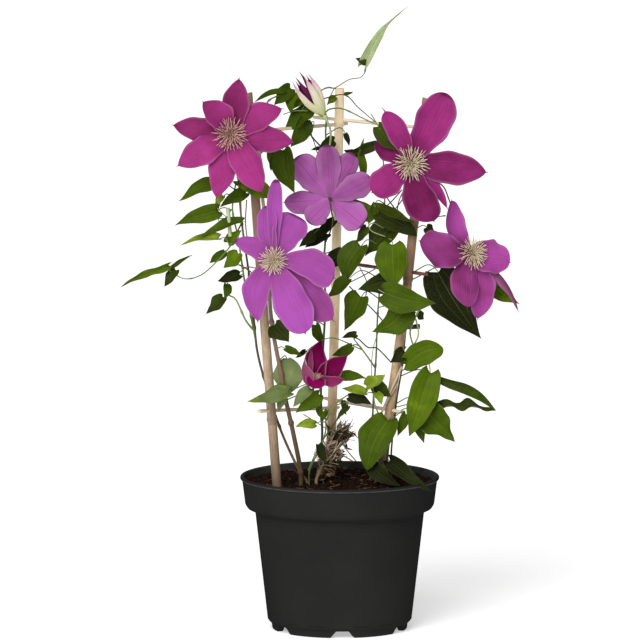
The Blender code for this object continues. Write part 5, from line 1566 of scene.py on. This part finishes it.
# %% Finishes of the foliage
# The tones of the leaves: the darkest are painted shade on leaves deep in the plant, lime is new
# growth, and the pale grey-green ones are partly a painted sheen.
LEAF_TONES = [
    (0.0, (26, 29, 8)), (0.16, (46, 57, 8)), (0.34, (66, 87, 4)), (0.5, (84, 108, 4)),
    (0.62, (138, 158, 44)), (0.68, (94, 110, 60)), (0.84, (126, 138, 90)), (1.0, (172, 186, 136)),
]
DRY_TONES = [
    (0.0, (40, 46, 20)), (0.28, (76, 70, 42)), (0.56, (108, 86, 72)), (0.8, (144, 128, 120)),
]
# How strong the light veins are, by how far from the midrib: at 0, 0.4 and 0.78.
VEIN_SPIKES = [
    (0.0, 1.0), (0.04, 0.0), (0.37, 0.0), (0.4, 0.6), (0.43, 0.0), (0.76, 0.0), (0.78, 0.35),
    (0.8, 0.0),
]
BARK_TONES = [
    (0.0, (190, 200, 150)), (0.22, (124, 144, 80)), (0.3, (96, 116, 60)), (0.39, (66, 74, 42)),
    (0.5, (84, 66, 46)), (0.61, (110, 84, 64)), (0.75, (134, 112, 94)), (1.0, (214, 194, 166)),
]


def leaf_look(name, tones, vein, under, glow):
    """Tone by leaf, which paints in shade and sheen, light long veins, a fine net, small
    blotches and a pale underside.
    """
    look = Look(name, 0.42, 0.07)
    vector, across, along = look.uv()
    blotch = look.grain(look.object(), 70.0, 5.0)
    tone = look.uneven("tone", blotch, 0.5)
    # Painted light and shade: each leaf's tone picks its green from the tones.
    colour = look.ramp(look.math("MULTIPLY", tone, 0.8), tones)
    veins = look.ramp(across, VEIN_SPIKES)
    stretched = look.add("ShaderNodeMapping", 0, {"Vector": vector, "Scale": (16, 34, 1)})
    inputs = {"Vector": stretched, "Scale": 1.0}
    cells = look.add("ShaderNodeTexVoronoi", 0, inputs, feature="DISTANCE_TO_EDGE")
    net = look.ramp(cells, [(0.0, 1.0), (0.09, 0.0)])
    colour = look.mix(look.math("MULTIPLY", veins, 0.2), colour, vein)
    colour = look.mix(look.math("MULTIPLY", net, 0.05), colour, vein)
    colour = look.mix(look.math("MULTIPLY", look.mark("back"), 0.55), colour, under)
    height = look.math("ADD", look.math("MULTIPLY", net, -0.4), look.math("MULTIPLY", blotch, 0.4))
    look.bump(height, 0.35, 0.0004)
    return look.finish(colour, look.ramp(blotch, [(0.3, 0.42), (0.7, 0.56)]), glow)


def stem_look():
    """Bark that turns from pale green to green, brown and cream as the wood ages."""
    look = Look("vine_bark", 0.55, 0.15)
    vector, _, _ = look.uv()
    streak = look.grain(vector, 40.0, 4.0, (1.0, 0.2, 1))
    wood = look.uneven("wood", streak, 0.4)
    wood = look.math("MULTIPLY", look.math("ADD", wood, 0.4), 0.55)
    colour = look.ramp(wood, BARK_TONES)
    colour = look.mix(look.ramp(streak, [(0.5, 0.0), (0.75, 0.4)]), colour, (58, 42, 34))
    look.bump(streak, 0.5, 0.0003)
    return look.finish(colour)


green_leaf = leaf_look("clematis_leaf", LEAF_TONES, (146, 168, 72), (132, 148, 100), 0.15)
dry_leaf = leaf_look("dry_leaf", DRY_TONES, (150, 126, 98), (130, 104, 80), 0.1)
bark = stem_look()
DRY_FORM = {**LEAF, "fold": 0.5, "ruffle": 0.3, "waves": 2.2, "cup": 1.2}

for number, name in enumerate(STEMS):
    dry = name == "old_wood"
    lines, blades = vine_shapes(name, DRY_FORM if dry else LEAF, VINE_SEED + number)
    slot = "dry_leaf" if dry else "foliage"
    make_piece(name + "_stems", lines, bark)
    make_piece(name + "_leaves", blades, dry_leaf if dry else green_leaf, [name])

# %% [markdown]
# ## Tendrils and litter
#
# The fine things finish the plant: dark wiry leaf stalks that have curled round nothing, root hairs
# on the soil, and the tangle of dry stalks and crumpled leaves at the foot of the back cane. They
# are too thin to matter in the solid, so they are only here.

# %% Tendrils and litter
# The radius, how woody it is, and plan points.
TENDRILS = (
    (0.4, 0.55, ((-19, 404, 22), (-24, 419, 18), (-31, 426, 16), (-36, 422, 15), (-30, 418, 16),
        (-24, 425, 17), (-22, 431, 18), (-28, 429, 18))),
    (0.4, 0.5, ((-20, 408, 20), (-24, 420, 17), (-28, 434, 16))),
    (0.45, 0.36, ((-3, 459, 32), (-10, 460.5, 31), (-17, 457, 30), (-20, 452, 28))),
    (0.4, 0.36, ((-5, 459, 32), (-7, 455, 31), (-9, 451, 30))),
    (0.55, 0.36, ((36, 372, 5), (46, 358, 4), (52, 350, 5))),
    (0.55, 0.36, ((34, 354, 3), (44, 363, 2), (53, 373, 4))),
    (0.5, 0.36, ((55, 374, 6), (50, 362, 5), (48, 346, 4))),
    (0.5, 0.36, ((57, 376, 8), (54, 366, 6), (42, 350, 4))),
    (0.6, 0.36, ((8, 291, -4), (19, 280, -5), (31, 268, -4), (46, 250, -1))),
    (0.6, 0.36, ((10, 248, -5), (16, 246, -5), (24, 239, -5), (32, 238, -5), (44, 226, -2))),
    (0.35, 0.1, ((52, 247, 0), (38, 258, -2), (30, 244, -4), (27, 224, -6), (28, 206, -10))),
    (1.0, 1.3, ((36, 184, -10), (44, 203, -8), (53, 223, -6))),
    (0.6, 1.2, ((34, 181, -10), (42, 196, -8), (50, 209, -6))),
    (0.8, -0.1, ((68, 272, -3), (60, 253, -5), (63, 236, -6), (56, 226, -7))),
    (0.7, -0.2, ((62, 272, -4), (67, 251, -6), (61, 238, -6))),
    (0.6, 0.9, ((-84, 362, -31), (-83, 342, -29), (-80, 322, -27))),
    (0.6, 0.8, ((-79, 364, -29), (-80, 345, -28), (-78, 326, -27))),
    (1.7, -0.4, ((-95, 357, -34), (-94, 346, -34), (-93, 333, -33))),
    (0.5, 0.0, ((-104, 357, -35), (-97, 350, -34), (-90, 344, -33))),
    (0.4, 0.5, ((-100, 366, -33), (-103, 356, -34), (-103, 346, -34))),
    (0.4, 0.3, ((-103, 348, -34), (-96, 349, -35), (-92, 356, -34))),
    (0.6, 0.7, ((-86, 309, -34), (-80, 306, -35), (-72, 300, -36))),
    (0.5, 0.8, ((-84, 303, -34), (-79, 307, -35), (-71, 306, -36))),
    (0.5, -0.1, ((24, 345, -2), (27, 338, -3), (39, 333, -4))),
    (0.5, 0.2, ((6, 293, -5), (20, 300, -3), (34, 308, -3))),
    (0.5, 0.6, ((17, 307, -3), (23, 294, -4), (22, 281, -5))),
    (0.5, 0.0, ((-48, 437, 8), (-38, 440, 10), (-27, 440, 12))),
    (0.4, 0.2, ((-31, 182, -20), (-18, 174, -16), (-4, 165, -6))),
    (0.6, 0.15, ((-27, 134, -14), (-19, 152, -10), (-9, 168, 0), (0, 180, 8))),
    (0.6, 0.9, ((2, 166, 6), (-4, 153, 2), (11, 142, -4))),
    (0.5, 0.9, ((-4, 168, 8), (5, 153, 4), (14, 142, 0))),
)
LITTER_TWIGS = 280
LITTER_LEAVES = 110
SCRAP_GRID = (12, 9)
LITTER_SEED = 33

threads = []
for radius, wood, points in TENDRILS:
    threads.append(tube(curve(place(points), THREAD_STEP), radius, 6, wood=wood))
make_piece("tendrils", threads, bark)
make_piece("root_hairs", hairs, bark)

litter_rng = np.random.default_rng(LITTER_SEED)
twigs, scraps = [], []
for _ in range(LITTER_TWIGS):
    climb = litter_rng.uniform(-0.1, 1)
    start = np.array([-13 + 12 * climb, 143 + 25 * climb, 2 + 18 * climb])
    start = start + litter_rng.normal(0, 2.8, 3)
    way = np.array([litter_rng.normal(5, 5), litter_rng.normal(5, 5), litter_rng.normal(0, 4)])
    kink = litter_rng.normal(0, 1.6, 3)
    path = curve(place([start, start + way * 0.5 + kink, start + way]), 1.0)
    radius, wood = litter_rng.uniform(0.18, 0.36), litter_rng.uniform(0.75, 1.6)
    twigs.append(tube(path, radius, 5, wood=wood))
for _ in range(LITTER_LEAVES):
    climb = litter_rng.uniform(-0.6, 1)
    start = np.array([-8 + 13 * climb, 143 + 23 * climb, 6 + 14 * climb])
    start = start + litter_rng.normal(0, 3.2, 3)
    way = np.array([litter_rng.normal(2, 4), litter_rng.normal(1, 4), litter_rng.normal(-1, 3)])
    base, tip = place(start), place(start + way)
    form = {**DRY_FORM, "cup": litter_rng.uniform(0.6, 1.8), "twist": litter_rng.uniform(-90, 90)}
    normal = litter_rng.normal(0, 1, 3)
    tone = litter_rng.uniform(0, 1) * np.clip(climb + 0.5, 0.2, 1)
    width, phase = litter_rng.uniform(1.5, 4), litter_rng.uniform(0, 1)
    scraps.append(blade(base, tip, normal, width, form, *SCRAP_GRID, phase, tone=tone))
make_piece("litter_twigs", twigs, bark)
make_piece("litter_leaves", scraps, dry_leaf)

# %% [markdown]
# ## The last line
#
# The view layer is brought up to date once more at the end. The dressed plant has to stay inside
# the box of the imported model.

# %% The last line
bpy.context.view_layer.update()
